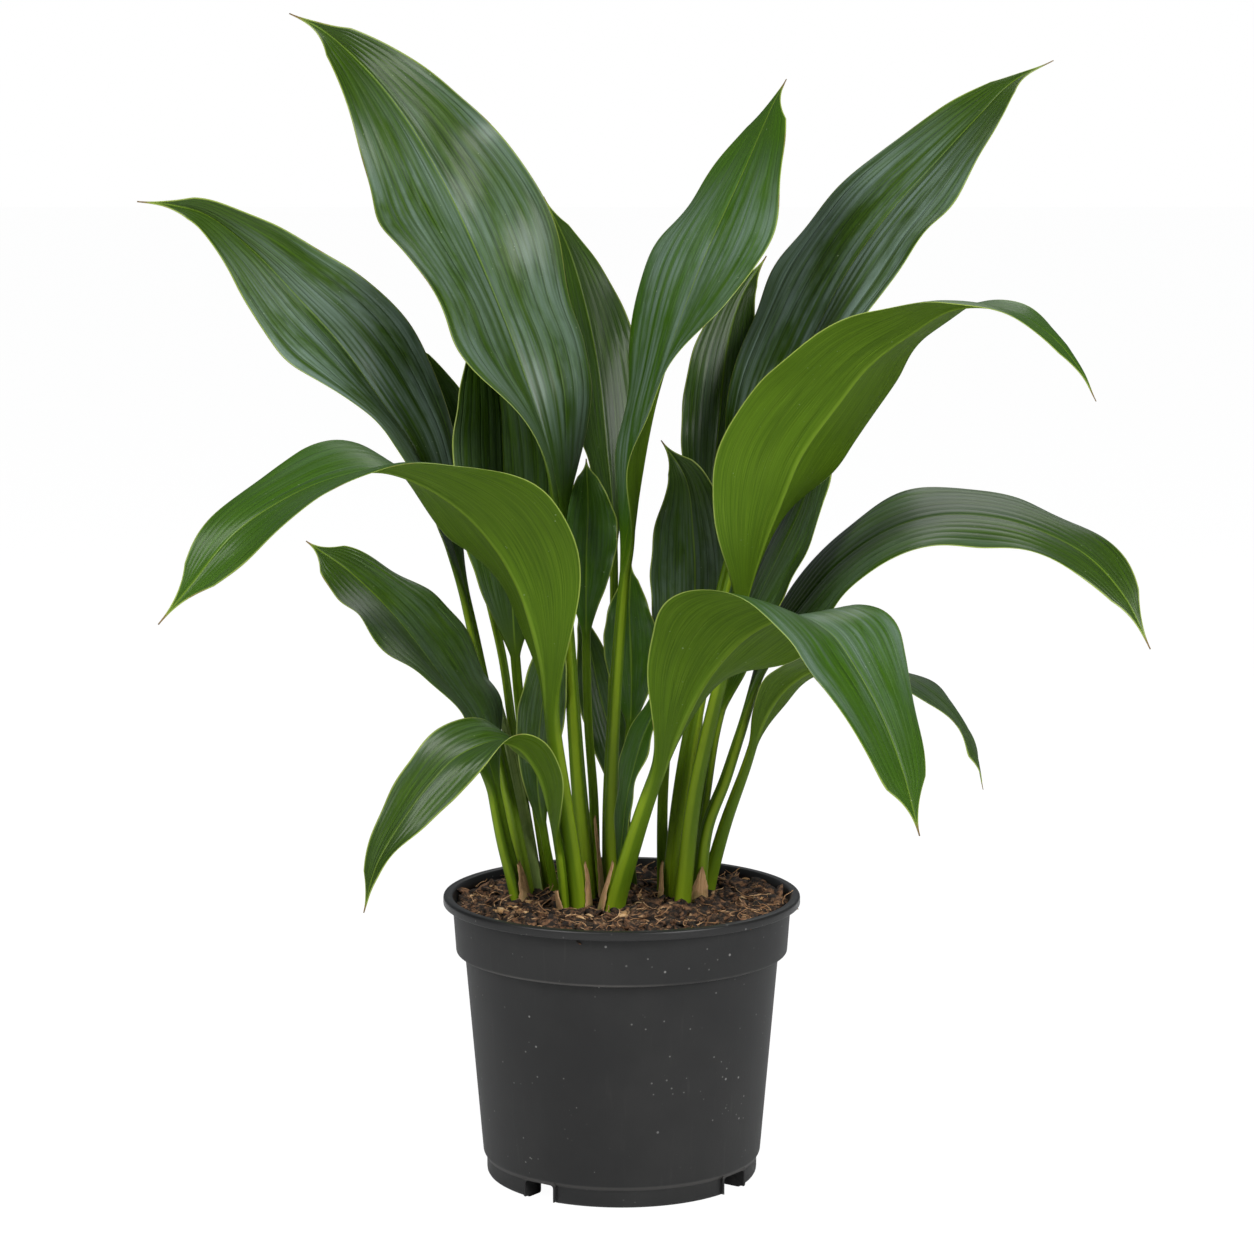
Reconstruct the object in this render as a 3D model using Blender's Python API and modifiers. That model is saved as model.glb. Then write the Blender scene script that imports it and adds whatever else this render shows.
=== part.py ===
"""A cast iron plant (Aspidistra elatior) in a round black nursery pot.

Frame: +Z up, origin on the pot's axis in the plane that the pot stands on. -Y is the front.
Every leaf grew as one piece, stalk and blade together, so each is one solid: a loft that follows
its midrib. The leaves stand on one creeping rhizome, buried in the potting soil.
Lengths are written in millimetres and multiplied by MM, so the scene is in metres.
"""

import math

import bmesh
import bpy
import numpy as np
from mathutils import Matrix, Vector, noise

MM = 0.001

# ---------------------------------------------------------------- driving dimensions, millimetres
POT_HEIGHT = 151.0
RIM_RADIUS = 94.6  # outside of the rolled lip
COLLAR_TOP_RADIUS = 89.7  # the wide band under the lip
COLLAR_FOOT_RADIUS = 87.9
COLLAR_FOOT_HEIGHT = 121.0
BODY_TOP_RADIUS = 83.4
BODY_FOOT_RADIUS = 74.0
FOOT_HEIGHT = 10.0  # the band that the drain notches cut through
FOOT_RADIUS = 72.1
WALL = 1.4
LIP_HEIGHT = 4.6
LIP_WIDTH = 4.4
FOOT_RING_WIDTH = 12.0
NOTCH_WIDTH = 18.0
NOTCH_FIRST_ANGLE = 36.0  # degrees from the front towards the left
NOTCH_COUNT = 4
NOTCH_ROOF = 0.2  # how far a notch's ceiling is under the top of the foot
NOTCH_CUT = (22.0, 70.3)  # length along the radius, and radius of its middle
TUNNEL = (13.4, 66.2)  # the walls round a notch, through the hollow foot: the same two sizes
TUNNEL_ROOF = 2.2
TUNNEL_FLOOR = 0.9
ROOM_LENGTH = 15.6  # the space that the soil leaves round a tunnel
DRAIN_SLOT = (10.0, 4.0, 8.0)  # the upright slot in a tunnel's back wall: width, depth, height
DRAIN_SLOT_PLACE = (65.0, 11.0)  # radius and height
FOOT_SLOPE = 2.2  # height of the slope from the foot to the body
DRAIN_HOLE_RADIUS = 4.5
DRAIN_HOLE_CIRCLE = 36.0

SOIL_EDGE_HEIGHT = 145.0
SOIL_MOUND = 2.2  # how much higher the soil is at the middle
RHIZOME_HEIGHT = 124.0
RHIZOME_RADIUS = 6.5
RHIZOME_SIDES = 8
RHIZOME_RINGS_PER_SPAN = 3
LEAF_FOOT_HEIGHT = 131.2  # where the leaf stalks end, just above the rhizome
GAP = 0.35  # clearance between neighbouring solids

POT_SEGMENTS = 40
STALK_RINGS = 5
STALK_TAPER = 2.6  # a stalk loses its foot's extra width over this inverse share of the leaf
BLADE_RINGS = 12
LEAF_THICKNESS = 0.8
SHEATH_FOOT_HEIGHT = 140.0
SHEATH_RINGS = 4
SHEATH_THICKNESS = 0.8
POCKET_DEPTH = 3.0
SOIL_LUMPS = 0.8

# ---------------------------------------------------------------- scene and materials

for old in list(bpy.data.objects):
    bpy.data.objects.remove(old)


def collection(name, hidden=False):
    made = bpy.data.collections.new(name)
    bpy.context.scene.collection.children.link(made)
    made.hide_render = hidden
    return made


PLANT = collection("potted_cast_iron_plant")
CUTTERS = collection("cutters", hidden=True)
POCKETS = collection("soil_pockets", hidden=True)


def material(name, colour, roughness, metallic=0.0):
    made = bpy.data.materials.new(name)
    made.use_nodes = True
    shader = made.node_tree.nodes["Principled BSDF"]
    shader.inputs["Base Color"].default_value = (*colour, 1.0)
    shader.inputs["Roughness"].default_value = roughness
    shader.inputs["Metallic"].default_value = metallic
    return made


LEAF_DARK = material("leaf_dark_green", (0.035, 0.105, 0.022), 0.38)
LEAF_BRIGHT = material("leaf_bright_green", (0.085, 0.20, 0.018), 0.45)
SHEATH_DRY = material("dry_sheath", (0.42, 0.25, 0.12), 0.8)
SHEATH_GREEN = material("green_sheath", (0.16, 0.24, 0.05), 0.55)
POT_PLASTIC = material("black_plastic", (0.035, 0.036, 0.038), 0.5)
SOIL_BROWN = material("potting_soil", (0.05, 0.028, 0.015), 0.95)
RHIZOME_TAN = material("rhizome_skin", (0.40, 0.30, 0.17), 0.8)


def add_mesh(name, mesh, surface, home=PLANT):
    made = bpy.data.objects.new(name, mesh)
    mesh.materials.append(surface)
    home.objects.link(made)
    return made


def as_cutter(made):
    made.hide_render = True
    made.display_type = "WIRE"
    return made


# ---------------------------------------------------------------- leaves and sheaths: one loft


def smooth_path(points, count_per_span=24):
    """A centripetal Catmull-Rom curve through the points, as many close points."""
    knots = np.array(points, float)
    first = 2 * knots[0] - knots[1]
    last = 2 * knots[-1] - knots[-2]
    knots = np.vstack([first, knots, last])
    out = []
    for p0, p1, p2, p3 in zip(knots, knots[1:], knots[2:], knots[3:]):
        t1 = np.linalg.norm(p1 - p0) ** 0.5
        t2 = t1 + np.linalg.norm(p2 - p1) ** 0.5
        t3 = t2 + np.linalg.norm(p3 - p2) ** 0.5
        for t in np.linspace(t1, t2, count_per_span, endpoint=False):
            a1 = (t1 - t) / t1 * p0 + t / t1 * p1
            a2 = (t2 - t) / (t2 - t1) * p1 + (t - t1) / (t2 - t1) * p2
            a3 = (t3 - t) / (t3 - t2) * p2 + (t - t2) / (t3 - t2) * p3
            b1 = (t2 - t) / t2 * a1 + t / t2 * a2
            b2 = (t3 - t) / (t3 - t1) * a2 + (t - t1) / (t3 - t1) * a3
            out.append((t2 - t) / (t2 - t1) * b1 + (t - t1) / (t2 - t1) * b2)
    out.append(knots[-2])
    return np.array(out)


def along(path, fractions):
    """Points and directions at the given fractions of the path's length."""
    steps = np.linalg.norm(np.diff(path, axis=0), axis=1)
    lengths = np.concatenate([[0], np.cumsum(steps)])
    wanted = np.array(fractions) * lengths[-1]
    points = np.stack([np.interp(wanted, lengths, path[:, k]) for k in range(3)], 1)
    reach = lengths[-1] * 0.012
    before = np.stack([np.interp(wanted - reach, lengths, path[:, k]) for k in range(3)], 1)
    after = np.stack([np.interp(wanted + reach, lengths, path[:, k]) for k in range(3)], 1)
    direction = after - before
    return points, direction / np.linalg.norm(direction, axis=1)[:, None]


def at(values, t):
    """A value that runs smoothly through evenly spaced ones, at t from 0 to 1."""
    if not isinstance(values, (tuple, list)):
        return float(values)
    spans = len(values) - 1
    place = min(max(t, 0.0), 1.0) * spans
    index = min(int(place), spans - 1)
    part = place - index
    part = part * part * (3 - 2 * part)
    return values[index] * (1 - part) + values[index + 1] * part


def blade_profile(t, widest, base_taper, tip_taper):
    """The blade's half width, 0 to 1, at t from its foot (0) to its tip (1)."""
    if t <= 0 or t >= 1:
        return 0.0
    if t < widest:
        return math.sin(math.pi / 2 * t / widest) ** base_taper
    return math.sin(math.pi / 2 * (1 - t) / (1 - widest)) ** tip_taper


def section(half, fold, curl, side_offsets):
    """One half of a cross-section: (across, up, normal across, normal up) at each offset 0 to 1."""
    out = []
    steps = 12
    across = up = 0.0
    done = 0
    for offset in side_offsets:
        while done < round(offset * steps):
            angle = math.radians(fold + curl * (done + 0.5) / steps)
            across += half / steps * math.cos(angle)
            up += half / steps * math.sin(angle)
            done += 1
        angle = math.radians(fold + curl * offset)
        out.append((across, up, -math.sin(angle), math.cos(angle)))
    return out


def leaf_rings(heading, midrib, blade_from, width, widest=0.45, base_taper=1.5, tip_taper=1.15,
               roll=0.0, fold_left=20.0, fold_right=20.0, curl_left=-12.0, curl_right=-12.0,
               foot_width=6.4, stalk_width=4.8, grow=0.0):
    """The closed rings of points, from the stalk's foot to the blade's tip, in millimetres.

    heading: the way the leaf leans, in degrees from the back (+Y) towards the right (+X).
    roll: turn of the upper side about the midrib, in degrees, at even steps along the blade.
    """
    path = smooth_path(midrib)
    stalk = [blade_from * i / STALK_RINGS for i in range(STALK_RINGS)]
    blade = [blade_from + (1 - blade_from) * i / BLADE_RINGS for i in range(BLADE_RINGS + 1)]
    fractions = stalk + blade
    points, directions = along(path, fractions)
    lean = math.radians(heading)
    outward = np.array([math.sin(lean), math.cos(lean), 0.0])
    across_axis = np.cross(outward, [0, 0, 1])
    rings = []
    for fraction, point, direction in zip(fractions, points, directions):
        t = (fraction - blade_from) / (1 - blade_from)
        upper = np.cross(across_axis, direction)
        upper /= np.linalg.norm(upper)
        side = np.cross(direction, upper)
        turn = math.radians(at(roll, t))
        upper, side = (upper * math.cos(turn) + side * math.sin(turn),
                       side * math.cos(turn) - upper * math.sin(turn))
        opened = min(max(t / 0.25, 0.0), 1.0)
        opened = opened * opened * (3 - 2 * opened)
        foot = max(0.0, 1 - fraction * STALK_TAPER)
        stalk_half = (stalk_width + (foot_width - stalk_width) * foot) / 2
        stalk_half = stalk_half * min(1.0, 1.15 - max(t, 0.0))
        half = stalk_half + (width / 2 - stalk_half) * blade_profile(t, widest, base_taper, tip_taper)
        tip = max(0.0, (t - 0.9) / 0.1)
        half = max(half * (1 - tip) + 0.35 * tip, 0.35) + grow
        thin = LEAF_THICKNESS / 2 * (1 - 0.5 * tip)
        keel = (stalk_half * 0.95) * (1 - opened) + opened * (thin + 0.7 * (1 - max(t, 0)))
        flank = (stalk_half * 0.75) * (1 - opened) + opened * thin
        top = (stalk_half * 0.45) * (1 - opened) + opened * thin
        groove = (stalk_half * 0.25) * (1 - opened) + opened * thin * 0.6
        offsets = (0.5, 1.0)
        bent = opened * (1 - tip)
        right = section(half, at(fold_right, t) * bent, at(curl_right, t) * bent, offsets)
        left = section(half, at(fold_left, t) * bent, at(curl_left, t) * bent, offsets)

        def place(spot, mirror, lift):
            across, up, normal_across, normal_up = spot
            lift += math.copysign(grow, lift)
            flat = mirror * (across + normal_across * lift)
            return point + side * flat + upper * (up + normal_up * lift)

        ring = [place(right[1], 1, 0.0), place(right[0], 1, top), point + upper * (groove + grow),
                place(left[0], -1, top), place(left[1], -1, 0.0), place(left[0], -1, -flank),
                point - upper * (keel + grow), place(right[0], 1, -flank)]
        rings.append(ring)
    return rings


def loft(name, rings, surface, home=PLANT):
    """A closed solid through rings of equal point counts, capped at both ends.

    The first half of a ring is one side of the blade and the second half is the other side. Both
    sides are split along the same diagonals, so that a twisted blade keeps its thickness.
    """
    build = bmesh.new()
    rows = [[build.verts.new(Vector(p) * MM) for p in ring] for ring in rings]
    count = len(rows[0])
    for low, high in zip(rows, rows[1:]):
        for k in range(count):
            after = (k + 1) % count
            if k < count // 2:
                build.faces.new((low[k], low[after], high[after]))
                build.faces.new((low[k], high[after], high[k]))
            else:
                build.faces.new((low[k], low[after], high[k]))
                build.faces.new((low[after], high[after], high[k]))
    build.faces.new(rows[0][::-1])
    build.faces.new(rows[-1])
    bmesh.ops.recalc_face_normals(build, faces=build.faces)
    mesh = bpy.data.meshes.new(name)
    build.to_mesh(mesh)
    build.free()
    mesh.shade_smooth()
    mesh.set_sharp_from_angle(angle=math.radians(50))
    return add_mesh(name, mesh, surface, home)


def down_to_rhizome(midrib):
    """The midrib with its buried start put in front: straight down under the soil's surface."""
    x, y, z = midrib[0]
    nx, ny, nz = midrib[1]
    slope = (z - LEAF_FOOT_HEIGHT) / (nz - z)
    return [(x - (nx - x) * slope * 0.4, y - (ny - y) * slope * 0.4, LEAF_FOOT_HEIGHT), *midrib]


def above_soil(rings):
    """The rings from the foot to the first one that is clear of the soil."""
    clear = SOIL_EDGE_HEIGHT + SOIL_MOUND + SOIL_LUMPS + 1
    last = next(index for index, ring in enumerate(rings) if min(p[2] for p in ring) > clear)
    return rings[:last + 1]


# Each leaf: heading in degrees, midrib points in millimetres from the soil to the tip, the share
# of its length that is bare stalk, the blade's full width, and how the blade is folded and rolled.
LEAVES = {
    "leaf_tall_left": dict(
        heading=-20, surface=LEAF_DARK, blade_from=0.36, width=98, widest=0.36,
        base_taper=1.0, tip_taper=1.1, roll=(60, 30, -40, -55),
        fold_left=(50, 8, 25, 45), fold_right=(50, 29, 15, 18, -8, 45),
        foot_width=13.0, stalk_width=7.2,
        midrib=[(-16, -3, 147), (-22, 6, 211), (-29, 14, 306), (-36, 19, 370), (-54, 30, 431),
                (-74, 49, 480), (-98, 80, 528), (-121, 104, 563), (-144, 124, 589),
                (-167, 138, 608), (-184, 142, 616)]),
    "leaf_tall_centre": dict(
        heading=0, surface=LEAF_BRIGHT, blade_from=0.4, width=96, widest=0.45,
        base_taper=1.0, tip_taper=0.9, roll=(-75, -75, -45, -50), fold_left=(20, 12, 0),
        fold_right=(55, 5, 0),
        foot_width=12.0, stalk_width=7.2,
        midrib=[(-7, 6, 147), (-7, 4, 200), (-3, 1, 275), (3, 0, 337), (10, 2, 376),
                (19, 8, 419), (38, 24, 472), (63, 48, 526), (79, 68, 562), (88, 78, 579)]),
    "leaf_tall_right": dict(
        heading=30, surface=LEAF_DARK, blade_from=0.4, width=98, widest=0.5,
        base_taper=1.0, tip_taper=1.4, roll=(-15, -18, -10, -5), fold_left=(45, 10, 25),
        fold_right=(50, 15, 12),
        foot_width=12.5, stalk_width=7.4,
        midrib=[(26, -1, 147), (31, 4, 200), (38, 12, 242), (54, 24, 312), (76, 36, 389),
                (97, 46, 433), (122, 62, 479), (144, 76, 508), (167, 88, 532), (195, 104, 560),
                (215, 114, 579), (236, 118, 590)]),
    "leaf_arching_right": dict(
        heading=125, surface=LEAF_BRIGHT, blade_from=0.36, width=88, widest=0.32,
        base_taper=1.15, tip_taper=0.95, roll=(20, -20, 0, -10), fold_left=(40, 15, 5),
        fold_right=(18, 25, 0),
        foot_width=12.0, stalk_width=8.0,
        midrib=[(31, -11, 147), (37, -14, 204), (48, -22, 258), (63, -37, 318), (80, -52, 363),
                (90, -60, 389), (107, -70, 415), (123, -80, 436), (142, -88, 451),
                (164, -96, 464), (190, -104, 463), (209, -108, 452), (224, -111, 435),
                (232, -112, 420)]),
    "leaf_far_right": dict(
        heading=100, surface=LEAF_DARK, blade_from=0.28, width=90, widest=0.35,
        base_taper=1.7, roll=(18, 20, 18, 45), fold_left=(5, 2, 15), fold_right=(2, 8, 2),
        foot_width=11.0, stalk_width=5.4,
        midrib=[(40, -3, 147), (44, 0, 185), (54, 4, 211), (62, 7, 235), (76, 6, 277),
                (94, 2, 304), (114, -4, 328), (139, -12, 346), (165, -20, 354),
                (195, -30, 353), (219, -40, 346), (239, -50, 335), (255, -62, 317),
                (267, -72, 292)]),
    "leaf_front_right": dict(
        heading=130, surface=LEAF_BRIGHT, blade_from=0.25, width=98, widest=0.46,
        base_taper=1.8, tip_taper=1.05, roll=(15, -30, 0, 15), fold_left=(45, 15, 0),
        fold_right=(45, 8, 20),
        foot_width=14.0, stalk_width=8.4,
        midrib=[(-5, -26, 147), (4, -34, 181), (17, -46, 222), (33, -60, 257), (47, -72, 282),
                (66, -86, 303), (86, -97, 312), (103, -106, 305), (115, -112, 289),
                (128, -118, 265), (139, -123, 236), (147, -127, 207)]),
    "leaf_low_right": dict(
        heading=110, surface=LEAF_DARK, blade_from=0.36, width=80, widest=0.52,
        tip_taper=0.9, roll=(-35, -15, -8, -15), fold_left=(20, 6, 0), fold_right=(20, 4, 0),
        foot_width=9.6, stalk_width=5.0,
        midrib=[(45, 12, 147), (54, 10, 183), (65, 5, 216), (75, -1, 246), (87, -6, 263),
                (104, -14, 274), (129, -24, 275), (154, -34, 268), (172, -42, 253),
                (182, -47, 234), (186, -51, 216)]),
    "leaf_far_left": dict(
        heading=-60, surface=LEAF_DARK, blade_from=0.38, width=76, widest=0.42,
        base_taper=1.8, tip_taper=1.4, roll=(0, -5, -50, -60), fold_left=(45, 25, 15),
        fold_right=(25, 25, 45),
        foot_width=10.0, stalk_width=6.8,
        midrib=[(-50, 10, 147), (-57, 21, 182), (-65, 37, 217), (-73, 51, 249), (-82, 59, 290),
                (-90, 60, 323), (-101, 59, 355), (-113, 58, 383), (-130, 60, 409),
                (-151, 62, 438), (-173, 64, 462), (-199, 66, 489), (-223, 68, 507),
                (-241, 69, 512), (-260, 70, 514)]),
    "leaf_arching_left": dict(
        heading=-120, surface=LEAF_BRIGHT, blade_from=0.27, width=98, widest=0.4,
        base_taper=1.8, tip_taper=1.3, roll=(0, 20, 0, -60), fold_left=(50, 10, 0),
        fold_right=(30, 25, 5),
        foot_width=12.6, stalk_width=8.4,
        midrib=[(-22, -20, 147), (-28, -27, 196), (-34, -36, 239), (-38, -42, 274),
                (-47, -50, 306), (-54, -54, 324), (-64, -60, 342), (-79, -66, 360),
                (-99, -73, 375), (-120, -80, 383), (-140, -86, 381), (-164, -92, 372),
                (-191, -98, 354), (-213, -103, 328), (-229, -105, 309)]),
    "leaf_middle_left": dict(
        heading=-50, surface=LEAF_DARK, blade_from=0.3, width=86, widest=0.44,
        roll=(5, 15, 5, -30), fold_left=(35, 15, 0), fold_right=(10, 14, 12),
        foot_width=11.0, stalk_width=7.6,
        midrib=[(-54, -1, 147), (-62, 1, 179), (-70, 4, 217), (-79, 7, 243), (-93, 12, 262),
                (-108, 19, 281), (-124, 26, 299), (-145, 34, 318), (-163, 40, 330),
                (-169, 42, 334)]),
    "leaf_low_left": dict(
        heading=-130, surface=LEAF_DARK, blade_from=0.2, width=36, widest=0.4,
        base_taper=1.0, tip_taper=0.85, roll=(-45, 10, -40, 0), fold_left=(45, 8, 30),
        fold_right=(12, 40, 12),
        foot_width=7.2, stalk_width=5.6,
        midrib=[(-29, -26, 147), (-32, -32, 181), (-37, -40, 206), (-44, -48, 226),
                (-53, -56, 239), (-64, -62, 243), (-83, -72, 237), (-97, -78, 224),
                (-107, -83, 211), (-123, -90, 185), (-130, -94, 161)]),
    "leaf_back_left": dict(
        heading=-40, surface=LEAF_DARK, blade_from=0.55, width=40, widest=0.5,
        foot_width=6.6, stalk_width=5.0,
        midrib=[(-45, 23, 147), (-53, 39, 194), (-59, 54, 229), (-65, 68, 267), (-74, 80, 304),
                (-82, 90, 342), (-91, 100, 380), (-102, 106, 409), (-118, 110, 441)]),
    "leaf_upright_left": dict(
        heading=-10, surface=LEAF_DARK, blade_from=0.42, width=72, widest=0.52,
        base_taper=1.2, roll=(0, 5, 0, -35), fold_left=(18, 40, 45),
        fold_right=(17, 10, 50),
        foot_width=7.6, stalk_width=5.4,
        midrib=[(-39, 30, 147), (-46, 33, 195), (-53, 35, 231), (-57, 38, 270), (-59, 41, 302),
                (-61, 44, 334), (-63, 46, 366), (-65, 48, 404), (-69, 50, 438), (-75, 54, 467)]),
    "leaf_behind_tall_left": dict(
        heading=-15, surface=LEAF_DARK, blade_from=0.5, width=52, widest=0.4,
        roll=(28, 20, 14, 10),
        foot_width=6.6, stalk_width=5.0,
        midrib=[(-6, 18, 147), (-6, 28, 197), (-5, 42, 250), (-4, 54, 303), (-5, 64, 345),
                (-9, 74, 388), (-15, 88, 435), (-27, 104, 482), (-43, 118, 516)]),
    "leaf_inner_left": dict(
        heading=0, surface=LEAF_BRIGHT, blade_from=0.62, width=34, widest=0.55,
        foot_width=6.0, stalk_width=4.6,
        midrib=[(-14, 12, 147), (-15, 20, 197), (-18, 27, 239), (-19, 32, 282), (-19, 36, 324),
                (-18, 39, 352), (-19, 43, 378)]),
    "leaf_behind_tall_right": dict(
        heading=10, surface=LEAF_DARK, blade_from=0.5, width=42, widest=0.5,
        foot_width=6.6, stalk_width=5.0,
        midrib=[(32, 14, 147), (37, 30, 195), (42, 46, 247), (46, 58, 300), (49, 68, 353),
                (53, 76, 396), (57, 86, 434), (65, 94, 461), (79, 102, 484)]),
    "leaf_middle_right": dict(
        heading=0, surface=LEAF_DARK, blade_from=0.35, width=50, widest=0.55,
        foot_width=6.6, stalk_width=5.0,
        midrib=[(22, 17, 147), (22, 24, 197), (25, 31, 229), (33, 38, 261), (39, 42, 304),
                (38, 43, 341), (34, 42, 368), (21, 40, 388)]),
    "leaf_inner_right": dict(
        heading=40, surface=LEAF_DARK, blade_from=0.4, width=72, widest=0.45,
        base_taper=1.1, roll=(-22, -35, -28, -12), fold_left=(5, 3, 15), fold_right=(8, 3, 20),
        foot_width=7.0, stalk_width=5.4,
        midrib=[(36, 6, 147), (44, 10, 199), (50, 14, 236), (59, 18, 268), (69, 22, 299),
                (83, 26, 328), (95, 30, 352), (105, 36, 381), (115, 44, 409)]),
    "leaf_young_centre": dict(
        heading=0, surface=LEAF_BRIGHT, blade_from=0.55, width=30, widest=0.5, base_taper=1.1,
        foot_width=5.8, stalk_width=4.6,
        midrib=[(2, 19, 147), (1, 23, 186), (3, 26, 218), (5, 28, 246), (5, 30, 271),
                (4, 32, 298), (5, 34, 323)]),
    "leaf_young_front": dict(
        heading=60, surface=LEAF_BRIGHT, blade_from=0.2, width=22, widest=0.5, base_taper=1.1,
        foot_width=6.0, stalk_width=4.6,
        midrib=[(-2, -14, 147), (0, -16, 177), (3, -20, 205), (10, -26, 235), (17, -31, 253),
                (24, -36, 271), (30, -40, 287)]),
    "leaf_young_left": dict(
        heading=0, surface=LEAF_DARK, blade_from=0.3, width=26, widest=0.5, base_taper=1.1,
        foot_width=5.2, stalk_width=4.0,
        midrib=[(-36, 19, 147), (-42, 17, 182), (-45, 14, 209), (-43, 8, 243), (-38, 3, 275),
                (-33, -1, 308)]),
    "leaf_young_back": dict(
        heading=0, surface=LEAF_DARK, blade_from=0.3, width=26, widest=0.5, base_taper=1.1,
        foot_width=5.2, stalk_width=4.0,
        midrib=[(6, 28, 147), (3, 38, 178), (-3, 54, 215), (-12, 64, 247), (-18, 70, 274),
                (-25, 75, 295)]),
}

for leaf_name, leaf in LEAVES.items():
    shape = {key: value for key, value in leaf.items() if key != "surface"}
    shape["midrib"] = down_to_rhizome(leaf["midrib"])
    loft(leaf_name, leaf_rings(**shape), leaf["surface"])
    # Its pocket in the soil: the stalk's lowest rings, a gap wider and a little deeper.
    pocket = above_soil(leaf_rings(**shape, grow=GAP))
    pocket.insert(0, [p - np.array([0, 0, POCKET_DEPTH]) for p in pocket[0]])
    as_cutter(loft("pocket_of_" + leaf_name, pocket, SOIL_BROWN, POCKETS))


# ---------------------------------------------------------------- sheaths round the stalks' feet


def sheath_rings(stalk, facing, height, radius, spread, solid=False):
    """The closed rings of a dry or green scale that wraps a stalk's foot and narrows to a point.

    facing: where its middle looks, in degrees from the back (+Y) towards the right (+X).
    radius and spread: from the stalk's middle to the scale, and half the angle it wraps.
    solid: the full sector of the soil that the scale's foot takes, for its pocket.
    """
    path = smooth_path(down_to_rhizome(LEAVES[stalk]["midrib"]))
    top = SOIL_EDGE_HEIGHT + 2 + height
    step = (top - SHEATH_FOOT_HEIGHT) / SHEATH_RINGS
    levels = [SHEATH_FOOT_HEIGHT + step * i for i in range(SHEATH_RINGS + 1)]
    rings = []
    for level in levels:
        t = (level - SHEATH_FOOT_HEIGHT) / (top - SHEATH_FOOT_HEIGHT)
        centre = np.array([np.interp(level, path[:, 2], path[:, k]) for k in range(3)])
        narrowed = at(spread, t) * (1 - t ** 3) + 9 * t ** 3
        middle = at(radius, t)
        outer = middle + SHEATH_THICKNESS / 2 + (GAP if solid else 0)
        if solid:
            narrowed += math.degrees(2 * GAP / middle)

        def point(distance, share):
            angle = math.radians(facing + narrowed * share)
            return centre + np.array([math.sin(angle), math.cos(angle), 0]) * distance

        shares = [-1, -0.5, 0, 0.5, 1]
        inner = middle - SHEATH_THICKNESS / 2
        back = [centre] if solid else [point(inner, share) for share in reversed(shares)]
        rings.append([point(outer, share) for share in shares] + back)
    return rings


SHEATHS = {
    "sheath_left": dict(stalk="leaf_middle_left", facing=125, height=22, radius=(6.2, 6.2),
                        spread=(60, 34), surface=SHEATH_DRY),
    "sheath_low_left": dict(stalk="leaf_low_left", facing=-120, height=12, radius=(4.5, 4.9),
                            spread=(58, 36), surface=SHEATH_DRY),
    "sheath_arching_left": dict(stalk="leaf_arching_left", facing=110, height=27, radius=(7.1, 6.5),
                                spread=(44, 26), surface=SHEATH_DRY),
    "sheath_front": dict(stalk="leaf_front_right", facing=-100, height=28, radius=(7.8, 6.8),
                         spread=(50, 26), surface=SHEATH_DRY),
    "sheath_tall_left": dict(stalk="leaf_tall_left", facing=110, height=46, radius=(7.3, 6.6),
                             spread=(34, 20), surface=SHEATH_DRY),
    "sheath_far_right": dict(stalk="leaf_far_right", facing=170, height=20, radius=(6.3, 6.2),
                             spread=(58, 36), surface=SHEATH_DRY),
    "sheath_tall_right": dict(stalk="leaf_tall_right", facing=-110, height=22, radius=(7.0, 6.5),
                              spread=(38, 24), surface=SHEATH_DRY),
    "sheath_back_left": dict(stalk="leaf_back_left", facing=-135, height=98, radius=(4.4, 6.2),
                             spread=(80, 70), surface=SHEATH_GREEN),
}

for sheath_name, sheath in SHEATHS.items():
    shape = {key: value for key, value in sheath.items() if key != "surface"}
    loft(sheath_name, sheath_rings(**shape), sheath["surface"])
    pocket = above_soil(sheath_rings(**shape, solid=True))
    pocket.insert(0, [p - np.array([0, 0, GAP]) for p in pocket[0]])
    as_cutter(loft("pocket_of_" + sheath_name, pocket, SOIL_BROWN, POCKETS))


# ---------------------------------------------------------------- turned shapes: pot and soil


def turned(name, profile, surface, home=PLANT):
    """A Screw round Z on a profile of (radius, height) points that runs down its outer side."""
    build = bmesh.new()
    points = [build.verts.new((radius * MM, 0, height * MM)) for radius, height in profile]
    for start, end in zip(points, points[1:]):
        build.edges.new((start, end))
    mesh = bpy.data.meshes.new(name)
    build.to_mesh(mesh)
    build.free()
    made = add_mesh(name, mesh, surface, home)
    screw = made.modifiers.new("turn", "SCREW")
    screw.steps = POT_SEGMENTS
    screw.render_steps = POT_SEGMENTS
    screw.use_merge_vertices = True
    screw.merge_threshold = 0.00001
    return made


def frozen(made):
    """The same object with its modifiers worked out into its mesh."""
    graph = bpy.context.evaluated_depsgraph_get()
    mesh = bpy.data.meshes.new_from_object(made.evaluated_get(graph))
    made.modifiers.clear()
    made.data = mesh
    return made


def box_cutter(name, size, radius, angle, height):
    """A block in the hidden collection, its middle at this radius and angle from the front (left +)."""
    build = bmesh.new()
    turn = Matrix.Rotation(math.radians(-angle), 4, "Z")
    move = Matrix.Translation(Vector((0, -radius, height)) * MM)
    stretch = Matrix.Diagonal((size[0] * MM, size[1] * MM, size[2] * MM, 1))
    bmesh.ops.create_cube(build, size=1.0, matrix=turn @ move @ stretch)
    mesh = bpy.data.meshes.new(name)
    build.to_mesh(mesh)
    build.free()
    return as_cutter(add_mesh(name, mesh, POT_PLASTIC, CUTTERS))


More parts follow.
